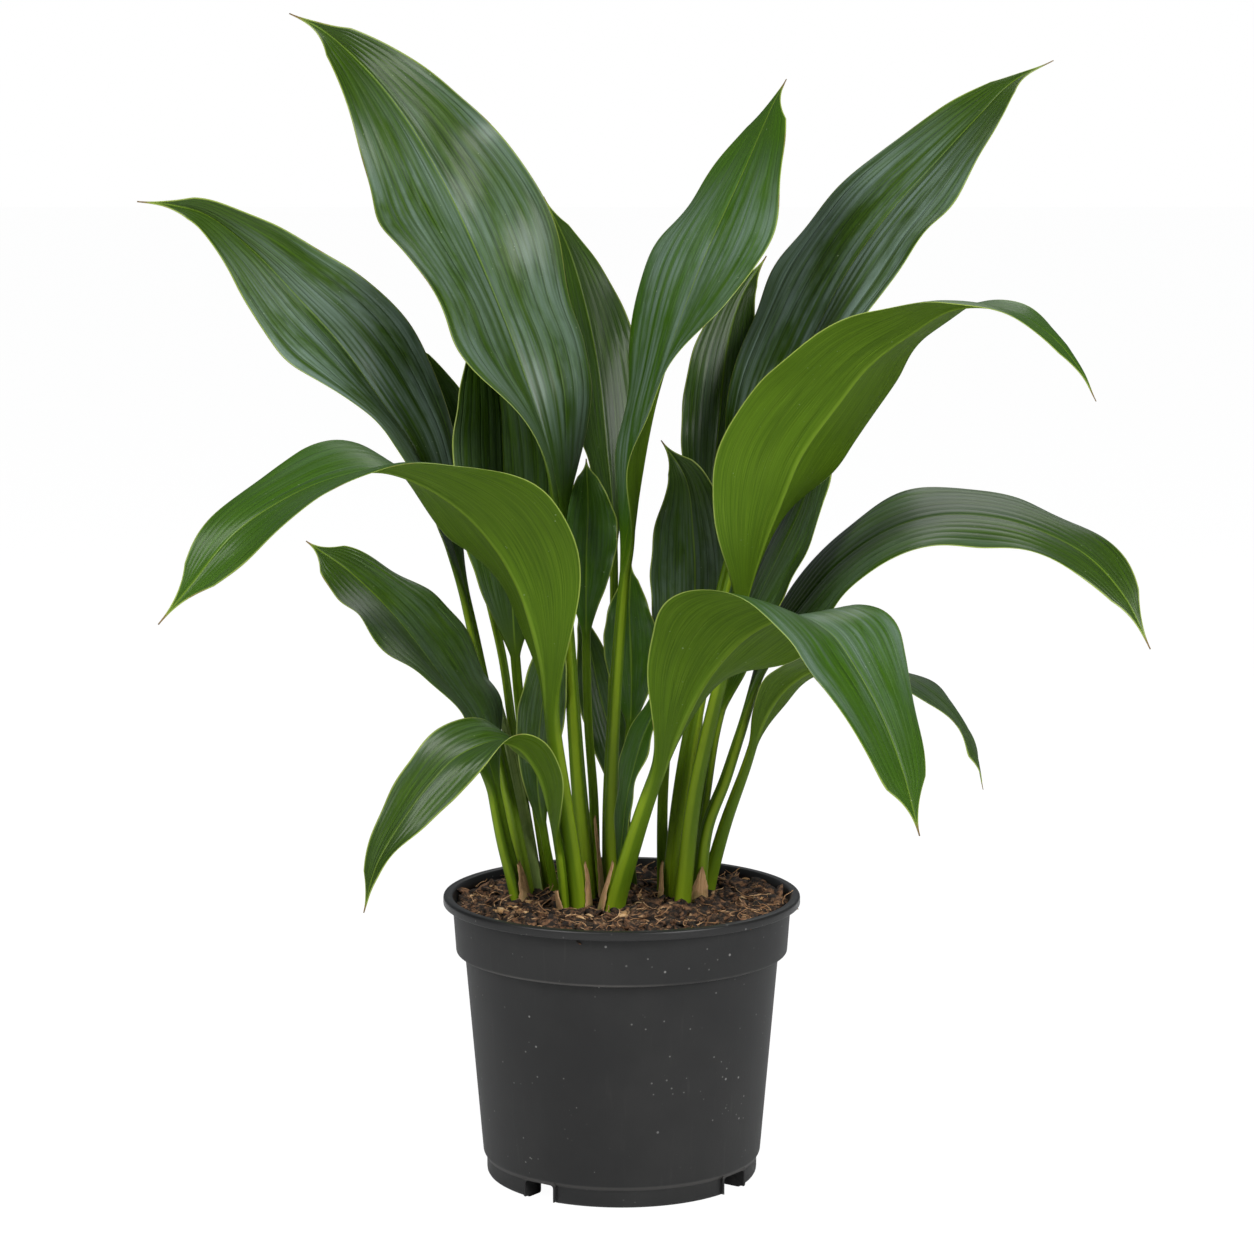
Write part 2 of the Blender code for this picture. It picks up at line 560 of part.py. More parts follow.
def hole_cutter(name, x, y, low, high, radius):
    build = bmesh.new()
    bmesh.ops.create_cone(build, cap_ends=True, segments=16, radius1=radius * MM,
                          radius2=radius * MM, depth=(high - low) * MM)
    bmesh.ops.translate(build, verts=build.verts, vec=Vector((x, y, (low + high) / 2)) * MM)
    mesh = bpy.data.meshes.new(name)
    build.to_mesh(mesh)
    build.free()
    return as_cutter(add_mesh(name, mesh, POT_PLASTIC, CUTTERS))


def boolean(made, other, operation):
    modifier = made.modifiers.new(operation.lower() + "_" + other.name, "BOOLEAN")
    modifier.operation = operation
    if isinstance(other, bpy.types.Collection):
        modifier.operand_type = "COLLECTION"
        modifier.collection = other
    else:
        modifier.object = other


# The pot: one moulding of even wall, turned, with a flanged lip, a collar, a tapering body and a
# hollow foot ring that four drain notches cut through.
BASE_TOP = FOOT_HEIGHT + WALL
CHANNEL_RADIUS = FOOT_RADIUS - FOOT_RING_WIDTH
collar_lean = (COLLAR_TOP_RADIUS - COLLAR_FOOT_RADIUS) / (POT_HEIGHT - LIP_HEIGHT - COLLAR_FOOT_HEIGHT)
pot_profile = [
    (0, BASE_TOP),
    (CHANNEL_RADIUS + WALL, BASE_TOP),
    (CHANNEL_RADIUS + WALL, WALL),
    (FOOT_RADIUS - WALL, WALL),
    (FOOT_RADIUS - WALL, FOOT_HEIGHT),
    (BODY_FOOT_RADIUS - WALL, FOOT_HEIGHT + FOOT_SLOPE),
    (BODY_TOP_RADIUS - WALL, COLLAR_FOOT_HEIGHT + WALL),
    (COLLAR_FOOT_RADIUS - WALL, COLLAR_FOOT_HEIGHT + WALL),
    (COLLAR_TOP_RADIUS - WALL, POT_HEIGHT - LIP_HEIGHT),
    (RIM_RADIUS - LIP_WIDTH - 0.6, POT_HEIGHT - 0.7),
    (RIM_RADIUS - LIP_WIDTH + 0.4, POT_HEIGHT),
    (RIM_RADIUS - 1.0, POT_HEIGHT),
    (RIM_RADIUS, POT_HEIGHT - 1.0),
    (RIM_RADIUS, POT_HEIGHT - LIP_HEIGHT),
    (RIM_RADIUS - WALL, POT_HEIGHT - LIP_HEIGHT),
    (RIM_RADIUS - WALL, POT_HEIGHT - WALL),
    (COLLAR_TOP_RADIUS + 0.9, POT_HEIGHT - WALL),
    (COLLAR_TOP_RADIUS, POT_HEIGHT - LIP_HEIGHT),
    (COLLAR_FOOT_RADIUS, COLLAR_FOOT_HEIGHT + 0.5),
    (COLLAR_FOOT_RADIUS - 0.5, COLLAR_FOOT_HEIGHT),
    (BODY_TOP_RADIUS, COLLAR_FOOT_HEIGHT),
    (BODY_FOOT_RADIUS, FOOT_HEIGHT + FOOT_SLOPE),
    (FOOT_RADIUS + 0.8, FOOT_HEIGHT),
    (FOOT_RADIUS, FOOT_HEIGHT - 0.6),
    (FOOT_RADIUS, 2.6),
    (FOOT_RADIUS - 0.8, 0.8),
    (FOOT_RADIUS - 2.6, 0),
    (CHANNEL_RADIUS + 1.2, 0),
    (CHANNEL_RADIUS, 1.2),
    (CHANNEL_RADIUS, FOOT_HEIGHT),
    (0, FOOT_HEIGHT),
]
pot = frozen(turned("nursery_pot", pot_profile, POT_PLASTIC))
notch_top = FOOT_HEIGHT - NOTCH_ROOF
tunnel_top = notch_top + TUNNEL_ROOF - TUNNEL_FLOOR
for index in range(NOTCH_COUNT):
    angle = NOTCH_FIRST_ANGLE - 90 * index
    tag = "_" + str(index + 1)
    tunnel_size = (NOTCH_WIDTH + 2 * WALL, TUNNEL[0], tunnel_top - TUNNEL_FLOOR)
    tunnel = box_cutter("tunnel" + tag, tunnel_size, TUNNEL[1], angle, (tunnel_top + TUNNEL_FLOOR) / 2)
    boolean(pot, tunnel, "UNION")
    notch_size = (NOTCH_WIDTH, NOTCH_CUT[0], 2 * notch_top)
    boolean(pot, box_cutter("notch" + tag, notch_size, NOTCH_CUT[1], angle, 0), "DIFFERENCE")
    slot = box_cutter("drain_slot" + tag, DRAIN_SLOT, DRAIN_SLOT_PLACE[0], angle, DRAIN_SLOT_PLACE[1])
    boolean(pot, slot, "DIFFERENCE")
holes = [(0, 0)]
for index in range(4):
    turn = math.radians(NOTCH_FIRST_ANGLE + 45 + 90 * index)
    holes.append((math.sin(turn) * DRAIN_HOLE_CIRCLE, math.cos(turn) * DRAIN_HOLE_CIRCLE))
for index, (x, y) in enumerate(holes):
    hole = hole_cutter("drain_hole_" + str(index + 1), x, y, FOOT_HEIGHT - 4, BASE_TOP + 4, DRAIN_HOLE_RADIUS)
    boolean(pot, hole, "DIFFERENCE")

# The rhizome: a knobbly creeping stem, with one branch to each side, under the stalks' feet.


def rhizome_piece(name, points, home, grow=0.0):
    """A closed tube that swells at each joint of the stem."""
    path = smooth_path(points, RHIZOME_RINGS_PER_SPAN)
    if grow:
        path[0] += (path[0] - path[1]) * 0.2
        path[-1] += (path[-1] - path[-2]) * 0.2
    count = len(path)
    rings = []
    for index, middle in enumerate(path):
        ahead = path[min(index + 1, count - 1)] - path[max(index - 1, 0)]
        ahead /= np.linalg.norm(ahead)
        side = np.cross(ahead, [0, 0, 1])
        upward = np.cross(side, ahead)
        end = min(index, count - 1 - index)
        joint = 0.86 + 0.14 * math.cos(index * 2 * math.pi / RHIZOME_RINGS_PER_SPAN)
        swell = RHIZOME_RADIUS * joint * min(1.0, 0.55 + 0.3 * end)
        turns = [2 * math.pi * k / RHIZOME_SIDES for k in range(RHIZOME_SIDES)]
        rings.append([middle + (side * math.cos(a) + upward * math.sin(a)) * (swell + grow) for a in turns])
    return loft(name, rings, RHIZOME_TAN, home)


RUNS = {
    "rhizome": [(-58, 2), (-42, 14), (-22, 4), (-4, 8), (16, 6), (34, 4), (50, 12)],
    "branch_to_the_front": [(-20, 3), (-24, -12), (-19, -22), (-4, -26), (8, -24)],
    "branch_to_the_back": [(-2, 7), (4, 18), (8, 28)],
}
for run_name, run in RUNS.items():
    level_run = [(x, y, RHIZOME_HEIGHT) for x, y in run]
    home = PLANT if run_name == "rhizome" else CUTTERS
    stem = rhizome_piece(run_name, level_run, home)
    as_cutter(rhizome_piece("pocket_of_" + run_name, level_run, POCKETS, GAP))
    if run_name == "rhizome":
        rhizome = stem
    else:
        boolean(rhizome, as_cutter(stem), "UNION")

# The potting soil: fills the pot, heaped a little at the middle, with pockets for what grows in it.
soil_edge = COLLAR_TOP_RADIUS - WALL - collar_lean * (POT_HEIGHT - LIP_HEIGHT - SOIL_EDGE_HEIGHT) - GAP
soil_profile = [(0, SOIL_EDGE_HEIGHT)]
soil_profile += [(soil_edge * share, SOIL_EDGE_HEIGHT) for share in (0.35, 0.62, 0.84, 1.0)]
soil_profile += [
    (COLLAR_FOOT_RADIUS - WALL - GAP, COLLAR_FOOT_HEIGHT + WALL + GAP),
    (BODY_TOP_RADIUS - WALL - GAP, COLLAR_FOOT_HEIGHT + WALL + GAP),
    (BODY_FOOT_RADIUS - WALL - GAP, FOOT_HEIGHT + FOOT_SLOPE + GAP),
    (FOOT_RADIUS - WALL - GAP, FOOT_HEIGHT + GAP),
    (FOOT_RADIUS - WALL - GAP, WALL + GAP),
    (CHANNEL_RADIUS + WALL + GAP, WALL + GAP),
    (CHANNEL_RADIUS + WALL + GAP, BASE_TOP + GAP),
    (0, BASE_TOP + GAP),
]
soil = frozen(turned("potting_soil", soil_profile, SOIL_BROWN))
for vertex in soil.data.vertices:
    reach = math.hypot(vertex.co.x, vertex.co.y) / MM / soil_edge
    if vertex.co.z > (SOIL_EDGE_HEIGHT - 0.1) * MM:
        lumps = noise.noise(vertex.co * 45) * min(1.0, (1 - reach) * 6)
        vertex.co.z += (SOIL_MOUND * (1 - reach ** 2) + lumps * SOIL_LUMPS) * MM
for index in range(NOTCH_COUNT):
    room_size = (NOTCH_WIDTH + 2 * WALL + 2 * GAP, ROOM_LENGTH, 2 * (tunnel_top + GAP))
    angle = NOTCH_FIRST_ANGLE - 90 * index
    room = box_cutter("tunnel_room_" + str(index + 1), room_size, TUNNEL[1], angle, 0)
    boolean(soil, room, "DIFFERENCE")
boolean(soil, POCKETS, "DIFFERENCE")
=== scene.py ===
"""A cast iron plant in a round black nursery pot: its finished surfaces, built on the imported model.

Lengths are in metres unless a section says millimetres, and angles are in degrees.
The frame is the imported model's: +Z up, -Y the front, origin on the pot's axis at the floor.
"""

import math

import bmesh
import bpy
import numpy as np
from mathutils import Matrix, Vector, noise


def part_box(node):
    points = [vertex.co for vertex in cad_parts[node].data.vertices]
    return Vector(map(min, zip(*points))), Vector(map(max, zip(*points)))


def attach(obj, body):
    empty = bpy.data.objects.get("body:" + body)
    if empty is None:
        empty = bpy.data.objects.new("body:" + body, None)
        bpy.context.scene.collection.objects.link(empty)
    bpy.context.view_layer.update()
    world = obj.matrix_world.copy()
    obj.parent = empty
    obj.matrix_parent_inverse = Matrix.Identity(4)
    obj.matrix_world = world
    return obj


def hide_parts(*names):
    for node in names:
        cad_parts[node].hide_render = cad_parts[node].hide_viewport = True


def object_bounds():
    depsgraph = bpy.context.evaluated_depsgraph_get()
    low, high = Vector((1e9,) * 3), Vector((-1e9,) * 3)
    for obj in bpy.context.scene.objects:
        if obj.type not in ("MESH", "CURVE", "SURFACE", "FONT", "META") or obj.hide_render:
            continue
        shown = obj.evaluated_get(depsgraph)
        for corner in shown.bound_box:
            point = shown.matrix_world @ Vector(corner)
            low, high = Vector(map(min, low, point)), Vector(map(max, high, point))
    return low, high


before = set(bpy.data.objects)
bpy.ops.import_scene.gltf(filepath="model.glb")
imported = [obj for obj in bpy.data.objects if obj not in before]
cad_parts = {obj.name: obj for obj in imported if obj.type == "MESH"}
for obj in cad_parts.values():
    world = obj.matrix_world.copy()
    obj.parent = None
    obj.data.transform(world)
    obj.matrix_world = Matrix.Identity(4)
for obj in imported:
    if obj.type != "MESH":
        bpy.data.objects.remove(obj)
cad_box = [list(corner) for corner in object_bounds()]

# ---------------------------------------------------------------- the room
# A white paper floor and background in a studio whose walls are dim: two large soft boxes, at the
# front left and the front right, and a faint one behind. The camera sees the paper lit evenly, and
# the gloss on a leaf is a soft box's, not the whole room's.

FLOOR_SIZE = 60.0
FLOOR_COLOUR = (0.92, 0.92, 0.92, 1.0)
FLOOR_ROUGHNESS = 0.9
FLOOR_GLOW_SHARE = 0.92
FLOOR_GLOW = 1.06
WALL_COLOUR = (0.90, 0.96, 1.0, 1.0)
WALL_LIGHT = 0.18
PAPER_WHITE = (1.0, 1.0, 1.0, 1.0)
SOFT_BOXES = {
    "soft_box_left": dict(place=(-1.6, -1.5, 2.1), size=1.5, watts=68),
    "soft_box_right": dict(place=(1.5, -1.6, 1.5), size=1.3, watts=60),
    "soft_box_back": dict(place=(0.3, 1.7, 1.9), size=1.2, watts=9),
}
SOFT_BOX_AIM = Vector((0.0, 0.0, 0.33))
CAMERA_PLACE = (0.0028, -1.800, 0.543)
CAMERA_TILT = -7.9  # below the horizon
CAMERA_LENS_MM = 99.36
CAMERA_SENSOR_MM = 36.0


def placed(name, data):
    """A new object in the scene for this mesh, light or camera."""
    made = bpy.data.objects.new(name, data)
    bpy.context.scene.collection.objects.link(made)
    return made


def shown_to_camera(tree, share, lit, glowing, output):
    """Sends to the output what lights the room, with this share of the glow for the camera's view."""
    path = tree.nodes.new("ShaderNodeLightPath")
    factor = tree.nodes.new("ShaderNodeMath")
    factor.operation = "MULTIPLY"
    factor.inputs[1].default_value = share
    either = tree.nodes.new("ShaderNodeMixShader")
    tree.links.new(path.outputs["Is Camera Ray"], factor.inputs[0])
    for source, target in ((factor, 0), (lit, 1), (glowing, 2)):
        tree.links.new(source.outputs[0], either.inputs[target])
    tree.links.new(either.outputs[0], tree.nodes[output].inputs["Surface"])


half_floor = FLOOR_SIZE / 2
floor_mesh = bpy.data.meshes.new("floor")
floor_mesh.from_pydata([(-half_floor, -half_floor, 0), (half_floor, -half_floor, 0),
                        (half_floor, half_floor, 0), (-half_floor, half_floor, 0)], [], [(0, 1, 2, 3)])
floor_paint = bpy.data.materials.new("floor_paint")
floor_paint.use_nodes = True
paint = floor_paint.node_tree.nodes["Principled BSDF"]
paint.inputs["Base Color"].default_value = FLOOR_COLOUR
paint.inputs["Roughness"].default_value = FLOOR_ROUGHNESS
glow = floor_paint.node_tree.nodes.new("ShaderNodeEmission")
glow.inputs["Strength"].default_value = FLOOR_GLOW
shown_to_camera(floor_paint.node_tree, FLOOR_GLOW_SHARE, paint, glow, "Material Output")
floor_mesh.materials.append(floor_paint)
floor = placed("floor", floor_mesh)

studio = bpy.data.worlds.new("studio")
studio.use_nodes = True
walls = studio.node_tree.nodes["Background"]
walls.inputs["Color"].default_value = WALL_COLOUR
walls.inputs["Strength"].default_value = WALL_LIGHT
paper = studio.node_tree.nodes.new("ShaderNodeBackground")
paper.inputs["Color"].default_value = PAPER_WHITE
shown_to_camera(studio.node_tree, 1.0, walls, paper, "World Output")
bpy.context.scene.world = studio
bpy.context.scene.view_settings.view_transform = "Standard"
for box_name, box in SOFT_BOXES.items():
    lamp = bpy.data.lights.new(box_name, "AREA")
    lamp.size = box["size"]
    lamp.energy = box["watts"]
    soft_box = placed(box_name, lamp)
    soft_box.location = box["place"]
    soft_box.rotation_euler = (SOFT_BOX_AIM - Vector(box["place"])).to_track_quat("-Z", "Y").to_euler()

lens = bpy.data.cameras.new("camera")
lens.lens = CAMERA_LENS_MM
lens.sensor_width = CAMERA_SENSOR_MM
camera = placed("camera", lens)
camera.location = CAMERA_PLACE
camera.rotation_euler = (math.radians(90 + CAMERA_TILT), 0, 0)
bpy.context.scene.camera = camera

# ---------------------------------------------------------------- the nursery pot
# One injection moulding in charcoal polypropylene with an even wall: a flanged lip, a collar, a
# tapering body and a hollow foot ring that four drain notches cut through. Its satin skin has fine
# pale specks from recycled stock and faint upright scuffs; a pale line along the step under the
# collar is a painted highlight.

MM = 0.001
POT_TURNS = 144
WALL = 1.4
LIP_RADIUS = 94.6
LIP_WIDTH = 4.4
LIP_DEPTH = 4.6
COLLAR_TOP_RADIUS = 89.7
COLLAR_FOOT_RADIUS = 87.9
COLLAR_FOOT = 121.0
BODY_TOP_RADIUS = 83.4
BODY_FOOT_RADIUS = 74.0
FOOT_TOP = 10.0
FOOT_RADIUS = 72.1
FOOT_RING_WIDTH = 12.0
NOTCH_WIDTH = 18.0
NOTCH_ANGLES = (36, -54, -144, -234)  # from the front towards the left
NOTCH_LENGTH = 22.0
NOTCH_PLACE = 70.3  # from the pot's axis to the middle of the cut, as for the tunnel and the slot
TUNNEL_LENGTH = 13.4
TUNNEL_PLACE = 66.2
SLOT_SIZE = (10, 4, 8)
SLOT_PLACE = 65.0
SLOT_HEIGHT = 11.0
FOOT_SLOPE = 2.2
DRAIN_HOLE_RADIUS = 4.5
DRAIN_HOLE_CIRCLE = 36.0
POT_GREY = (0.0108, 0.0108, 0.0109, 1.0)
POT_WORN_GREY = (0.0215, 0.0212, 0.0206, 1.0)
SPECK_GREY = (0.17, 0.165, 0.16, 1.0)
DUST_AND_HIGHLIGHT_GREY = (0.12, 0.113, 0.105, 1.0)
pot_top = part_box("nursery_pot")[1].z / MM


class Reading:
    """One output in a node tree. Arithmetic on it adds Math nodes to the material that it belongs to."""

    def __init__(self, finish, socket):
        self.finish = finish
        self.socket = socket

    def sum_with(self, operation, first, second=0.0):
        return self.finish.add("ShaderNodeMath", {"operation": operation}, {0: first, 1: second})

    def __add__(self, other):
        return self.sum_with("ADD", self, other)

    def __radd__(self, other):
        return self.sum_with("ADD", other, self)

    def __sub__(self, other):
        return self.sum_with("SUBTRACT", self, other)

    def __rsub__(self, other):
        return self.sum_with("SUBTRACT", other, self)

    def __mul__(self, other):
        return self.sum_with("MULTIPLY", self, other)

    def __rmul__(self, other):
        return self.sum_with("MULTIPLY", other, self)

    def __abs__(self):
        return self.sum_with("ABSOLUTE", self)

    def zigzag(self):
        """0 at every whole number and 1 half way between two."""
        return self.sum_with("PINGPONG", self, 0.5) * 2

    def between(self, low, high):
        """0 below low, 1 above high, and a smooth step from one to the other."""
        return self.finish.add("ShaderNodeMapRange", {"interpolation_type": "SMOOTHSTEP"},
                               {"Value": self, "From Min": low, "From Max": high})


class Tree:
    """A node tree. add() makes any node and returns its first output, or the one named."""

    def __init__(self, tree):
        self.tree = tree

    def add(self, kind, settings=None, values=None, output=0):
        made = self.tree.nodes.new(kind)
        for key, value in (settings or {}).items():
            setattr(made, key, value)
        self.feed(made, values or {})
        return Reading(self, made.outputs[output])

    def feed(self, made, values):
        for key, value in values.items():
            if isinstance(value, Reading):
                self.tree.links.new(value.socket, made.inputs[key])
            else:
                made.inputs[key].default_value = value


class Finish(Tree):
    """A procedural material."""

    def __init__(self, name):
        self.material = bpy.data.materials.new(name)
        self.material.use_nodes = True
        super().__init__(self.material.node_tree)
        self.shader = self.tree.nodes["Principled BSDF"]

    def place(self):
        return self.add("ShaderNodeTexCoord", output="Object")

    def attribute(self, name, output="Vector"):
        return self.add("ShaderNodeAttribute", {"attribute_name": name}, output=output)

    def stretched(self, vector, scale):
        return self.add("ShaderNodeMapping", None, {"Vector": vector, "Scale": scale})

    def mottle(self, vector, scale, detail=3.0, roughness=0.55):
        return self.add("ShaderNodeTexNoise", None,
                        {"Vector": vector, "Scale": scale, "Detail": detail, "Roughness": roughness})

    def specks(self, vector, scale, size):
        """Small round dots at random places: 1 in a dot, 0 between them."""
        distance = self.add("ShaderNodeTexVoronoi", None, {"Vector": vector, "Scale": scale})
        return 1 - distance.between(size * 0.5, size)

    def parts(self, vector):
        return [self.add("ShaderNodeSeparateXYZ", None, {0: vector}, output=k) for k in range(3)]

    def join(self, x, y, z):
        return self.add("ShaderNodeCombineXYZ", None, {0: x, 1: y, 2: z})

    def mix(self, share, first, second):
        return self.add("ShaderNodeMix", {"data_type": "RGBA"}, {0: share, 6: first, 7: second}, output=2)

    def relief(self, height, depth, before=None):
        values = {"Height": height, "Distance": depth, "Strength": 1.0}
        if before is not None:
            values["Normal"] = before
        return self.add("ShaderNodeBump", None, values)


def mesh_of(build, name):
    """The mesh that a bmesh holds. The bmesh is freed."""
    mesh = bpy.data.meshes.new(name)
    build.to_mesh(mesh)
    build.free()
    return mesh


def piece(name, mesh, finish, slot, *nodes):
    """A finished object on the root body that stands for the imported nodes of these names."""
    made = placed(name, mesh)
    mesh.materials.clear()
    mesh.materials.append(finish.material)
    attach(made, "root")
    if nodes:
        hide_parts(*nodes)
    return made


def rounded(corners):
    """Points (radius, height) through corners (radius, height, fillet), each fillet as a short arc."""
    out = []
    for before, corner, after in zip(corners[:-2], corners[1:-1], corners[2:]):
        spot = np.array(corner[:2], float)
        back = np.array(before[:2], float) - spot
        forth = np.array(after[:2], float) - spot
        reach = min(corner[2], 0.45 * np.linalg.norm(back), 0.45 * np.linalg.norm(forth))
        start = spot + back / np.linalg.norm(back) * reach
        end = spot + forth / np.linalg.norm(forth) * reach
        steps = 5 if reach > 0.3 else 3
        for t in np.linspace(0, 1, steps):
            out.append(tuple(start * (1 - t) ** 2 + spot * 2 * t * (1 - t) + end * t ** 2))
    return [tuple(corners[0][:2])] + out + [tuple(corners[-1][:2])]


def turned(name, profile, turns):
    """A Screw round Z on (radius, height) points in millimetres, as a closed mesh."""
    build = bmesh.new()
    points = [build.verts.new((radius * MM, 0, height * MM)) for radius, height in profile]
    for start, end in zip(points, points[1:]):
        build.edges.new((start, end))
    made = placed(name, mesh_of(build, name))
    screw = made.modifiers.new("turn", "SCREW")
    screw.steps = turns
    screw.render_steps = turns
    screw.use_merge_vertices = True
    screw.merge_threshold = 0.00001
    return made


def settled(made):
    """The object's evaluated mesh, as a plain mesh; the object itself is removed."""
    graph = bpy.context.evaluated_depsgraph_get()
    mesh = bpy.data.meshes.new_from_object(made.evaluated_get(graph))
    bpy.data.objects.remove(made)
    return mesh


def block(name, size, radius, angle, height, fillet):
    """A block with filleted edges along its radius, at this radius and angle from the front."""
    build = bmesh.new()
    turn = Matrix.Rotation(math.radians(-angle), 4, "Z")
    move = Matrix.Translation(Vector((0, -radius, height)) * MM)
    stretch = Matrix.Diagonal((size[0] * MM, size[1] * MM, size[2] * MM, 1))
    bmesh.ops.create_cube(build, size=1.0)
    bmesh.ops.transform(build, matrix=stretch, verts=build.verts)
    long_edges = [e for e in build.edges if abs(e.verts[0].co.y - e.verts[1].co.y) > 1e-4]
    bmesh.ops.bevel(build, geom=long_edges, offset=fillet * MM, segments=4, profile=0.5, affect="EDGES")
    bmesh.ops.transform(build, matrix=turn @ move, verts=build.verts)
    return placed(name, mesh_of(build, name))


base_top = FOOT_TOP + WALL
channel = FOOT_RADIUS - FOOT_RING_WIDTH
pot_corners = [
    (0, base_top, 0),
    (channel + WALL, base_top, 1.0),
    (channel + WALL, WALL, 1.0),
    (FOOT_RADIUS - WALL, WALL, 1.5),
    (FOOT_RADIUS - WALL, FOOT_TOP, 1.0),
    (BODY_FOOT_RADIUS - WALL, FOOT_TOP + FOOT_SLOPE, 1.0),
    (BODY_TOP_RADIUS - WALL, COLLAR_FOOT + WALL, 0.8),
    (COLLAR_FOOT_RADIUS - WALL, COLLAR_FOOT + WALL, 1.0),
    (COLLAR_TOP_RADIUS - WALL, pot_top - LIP_DEPTH, 2.0),
    (LIP_RADIUS - LIP_WIDTH - 0.4, pot_top, 1.3),
    (LIP_RADIUS, pot_top, 1.5),
    (LIP_RADIUS, pot_top - LIP_DEPTH, 0.6),
    (LIP_RADIUS - WALL, pot_top - LIP_DEPTH, 0.4),
    (LIP_RADIUS - WALL, pot_top - WALL, 0.6),
    (COLLAR_TOP_RADIUS + 0.9, pot_top - WALL, 0.6),
    (COLLAR_TOP_RADIUS, pot_top - LIP_DEPTH, 1.0),
    (COLLAR_FOOT_RADIUS, COLLAR_FOOT, 0.7),
    (BODY_TOP_RADIUS, COLLAR_FOOT, 0.5),
    (BODY_FOOT_RADIUS, FOOT_TOP + FOOT_SLOPE, 1.0),
    (FOOT_RADIUS + 0.6, FOOT_TOP, 0.5),
    (FOOT_RADIUS, FOOT_TOP - 0.9, 0.5),
    (FOOT_RADIUS, 0, 3.0),
    (channel, 0, 1.6),
    (channel, FOOT_TOP, 0.8),
    (0, FOOT_TOP, 0),
]
pot = turned("pot", rounded(pot_corners), POT_TURNS)
cutters = []


def cut(other, operation):
    modifier = pot.modifiers.new(other.name, "BOOLEAN")
    modifier.operation = operation
    modifier.object = other
    cutters.append(other)


notch_top = FOOT_TOP - 0.2
for angle in NOTCH_ANGLES:
    cut(block("tunnel", (NOTCH_WIDTH + 2 * WALL, TUNNEL_LENGTH, notch_top + 0.4), TUNNEL_PLACE, angle,
              (notch_top + 2.2) / 2, 1.2), "UNION")
    cut(block("notch", (NOTCH_WIDTH, NOTCH_LENGTH, notch_top + 5), NOTCH_PLACE, angle,
              (notch_top - 5) / 2, 1.6), "DIFFERENCE")
    cut(block("slot", SLOT_SIZE, SLOT_PLACE, angle, SLOT_HEIGHT, 1.0), "DIFFERENCE")
hole_spots = [(0.0, 0.0)]
for index in range(4):
    turn = math.radians(NOTCH_ANGLES[0] + 45 + 90 * index)
    hole_spots.append((math.sin(turn) * DRAIN_HOLE_CIRCLE, math.cos(turn) * DRAIN_HOLE_CIRCLE))
for x, y in hole_spots:
    build = bmesh.new()
    bmesh.ops.create_cone(build, cap_ends=True, segments=32, radius1=DRAIN_HOLE_RADIUS * MM,
                          radius2=DRAIN_HOLE_RADIUS * MM, depth=10 * MM)
    bmesh.ops.translate(build, verts=build.verts, vec=Vector((x, y, FOOT_TOP)) * MM)
    cut(placed("hole", mesh_of(build, "hole")), "DIFFERENCE")
pot_mesh = settled(pot)
for cutter in cutters:
    bpy.data.objects.remove(cutter)
pot_mesh.shade_smooth()
pot_mesh.set_sharp_from_angle(angle=math.radians(35))

plastic = Finish("charcoal_plastic")
spot = plastic.place()
x, y, height = plastic.parts(spot)
clouds = plastic.mottle(spot, 14, 4)
upright = plastic.stretched(spot, (260, 260, 9))
scuffs = plastic.mottle(upright, 1.0, 2).between(0.60, 0.80) * clouds.between(0.42, 0.7)
fine_specks = plastic.specks(spot, 240, 0.16) * plastic.mottle(spot, 60, 2).between(0.52, 0.62)
large_specks = plastic.specks(spot, 95, 0.085) * plastic.mottle(spot, 31, 2).between(0.50, 0.60)
# A painted highlight: a pale, patchy line along the step under the collar that stands for light on the
# step's rounded edge. The line at the foot is dust.
step_highlight = (1 - abs(height - COLLAR_FOOT * MM).between(0.0004, 0.0016)) * clouds.between(0.3, 0.7)
foot_dust = (1 - abs(height - (FOOT_TOP + 0.8) * MM).between(0.0004, 0.0016)) * 0.5
grey = plastic.mix(clouds.between(0.35, 0.75) * 0.55, POT_GREY, POT_WORN_GREY)
grey = plastic.mix(scuffs * 0.10, grey, DUST_AND_HIGHLIGHT_GREY)
# The painted highlight on the step and the dust at the foot, mixed in one pale grey.
grey = plastic.mix((step_highlight + foot_dust) * 0.45, grey, DUST_AND_HIGHLIGHT_GREY)
grey = plastic.mix((fine_specks * 0.55 + large_specks * 0.8).between(0.0, 1.0), grey, SPECK_GREY)
on_lip = height.between((pot_top - LIP_DEPTH - 0.5) * MM, (pot_top - LIP_DEPTH + 0.5) * MM)
moulded = plastic.mottle(spot, 900, 3)
plastic.feed(plastic.shader, {
    "Base Color": grey,
    "Roughness": 0.48 - on_lip * 0.18 + clouds * 0.08 + fine_specks * 0.1,
    "Specular IOR Level": 0.24,
    "Normal": plastic.relief(moulded * 0.6 + plastic.mottle(upright, 1.0, 2) * 0.4, 0.00005),
})
piece("moulded_pot", pot_mesh, plastic, "pot_plastic", "nursery_pot")

# ---------------------------------------------------------------- the potting soil
# Moist peat and composted bark, heaped a little round the stalks and sunk at the rim. Crumbs and
# bark flakes lie all over it, with curled root fibres and a few cream chips of wood on top.

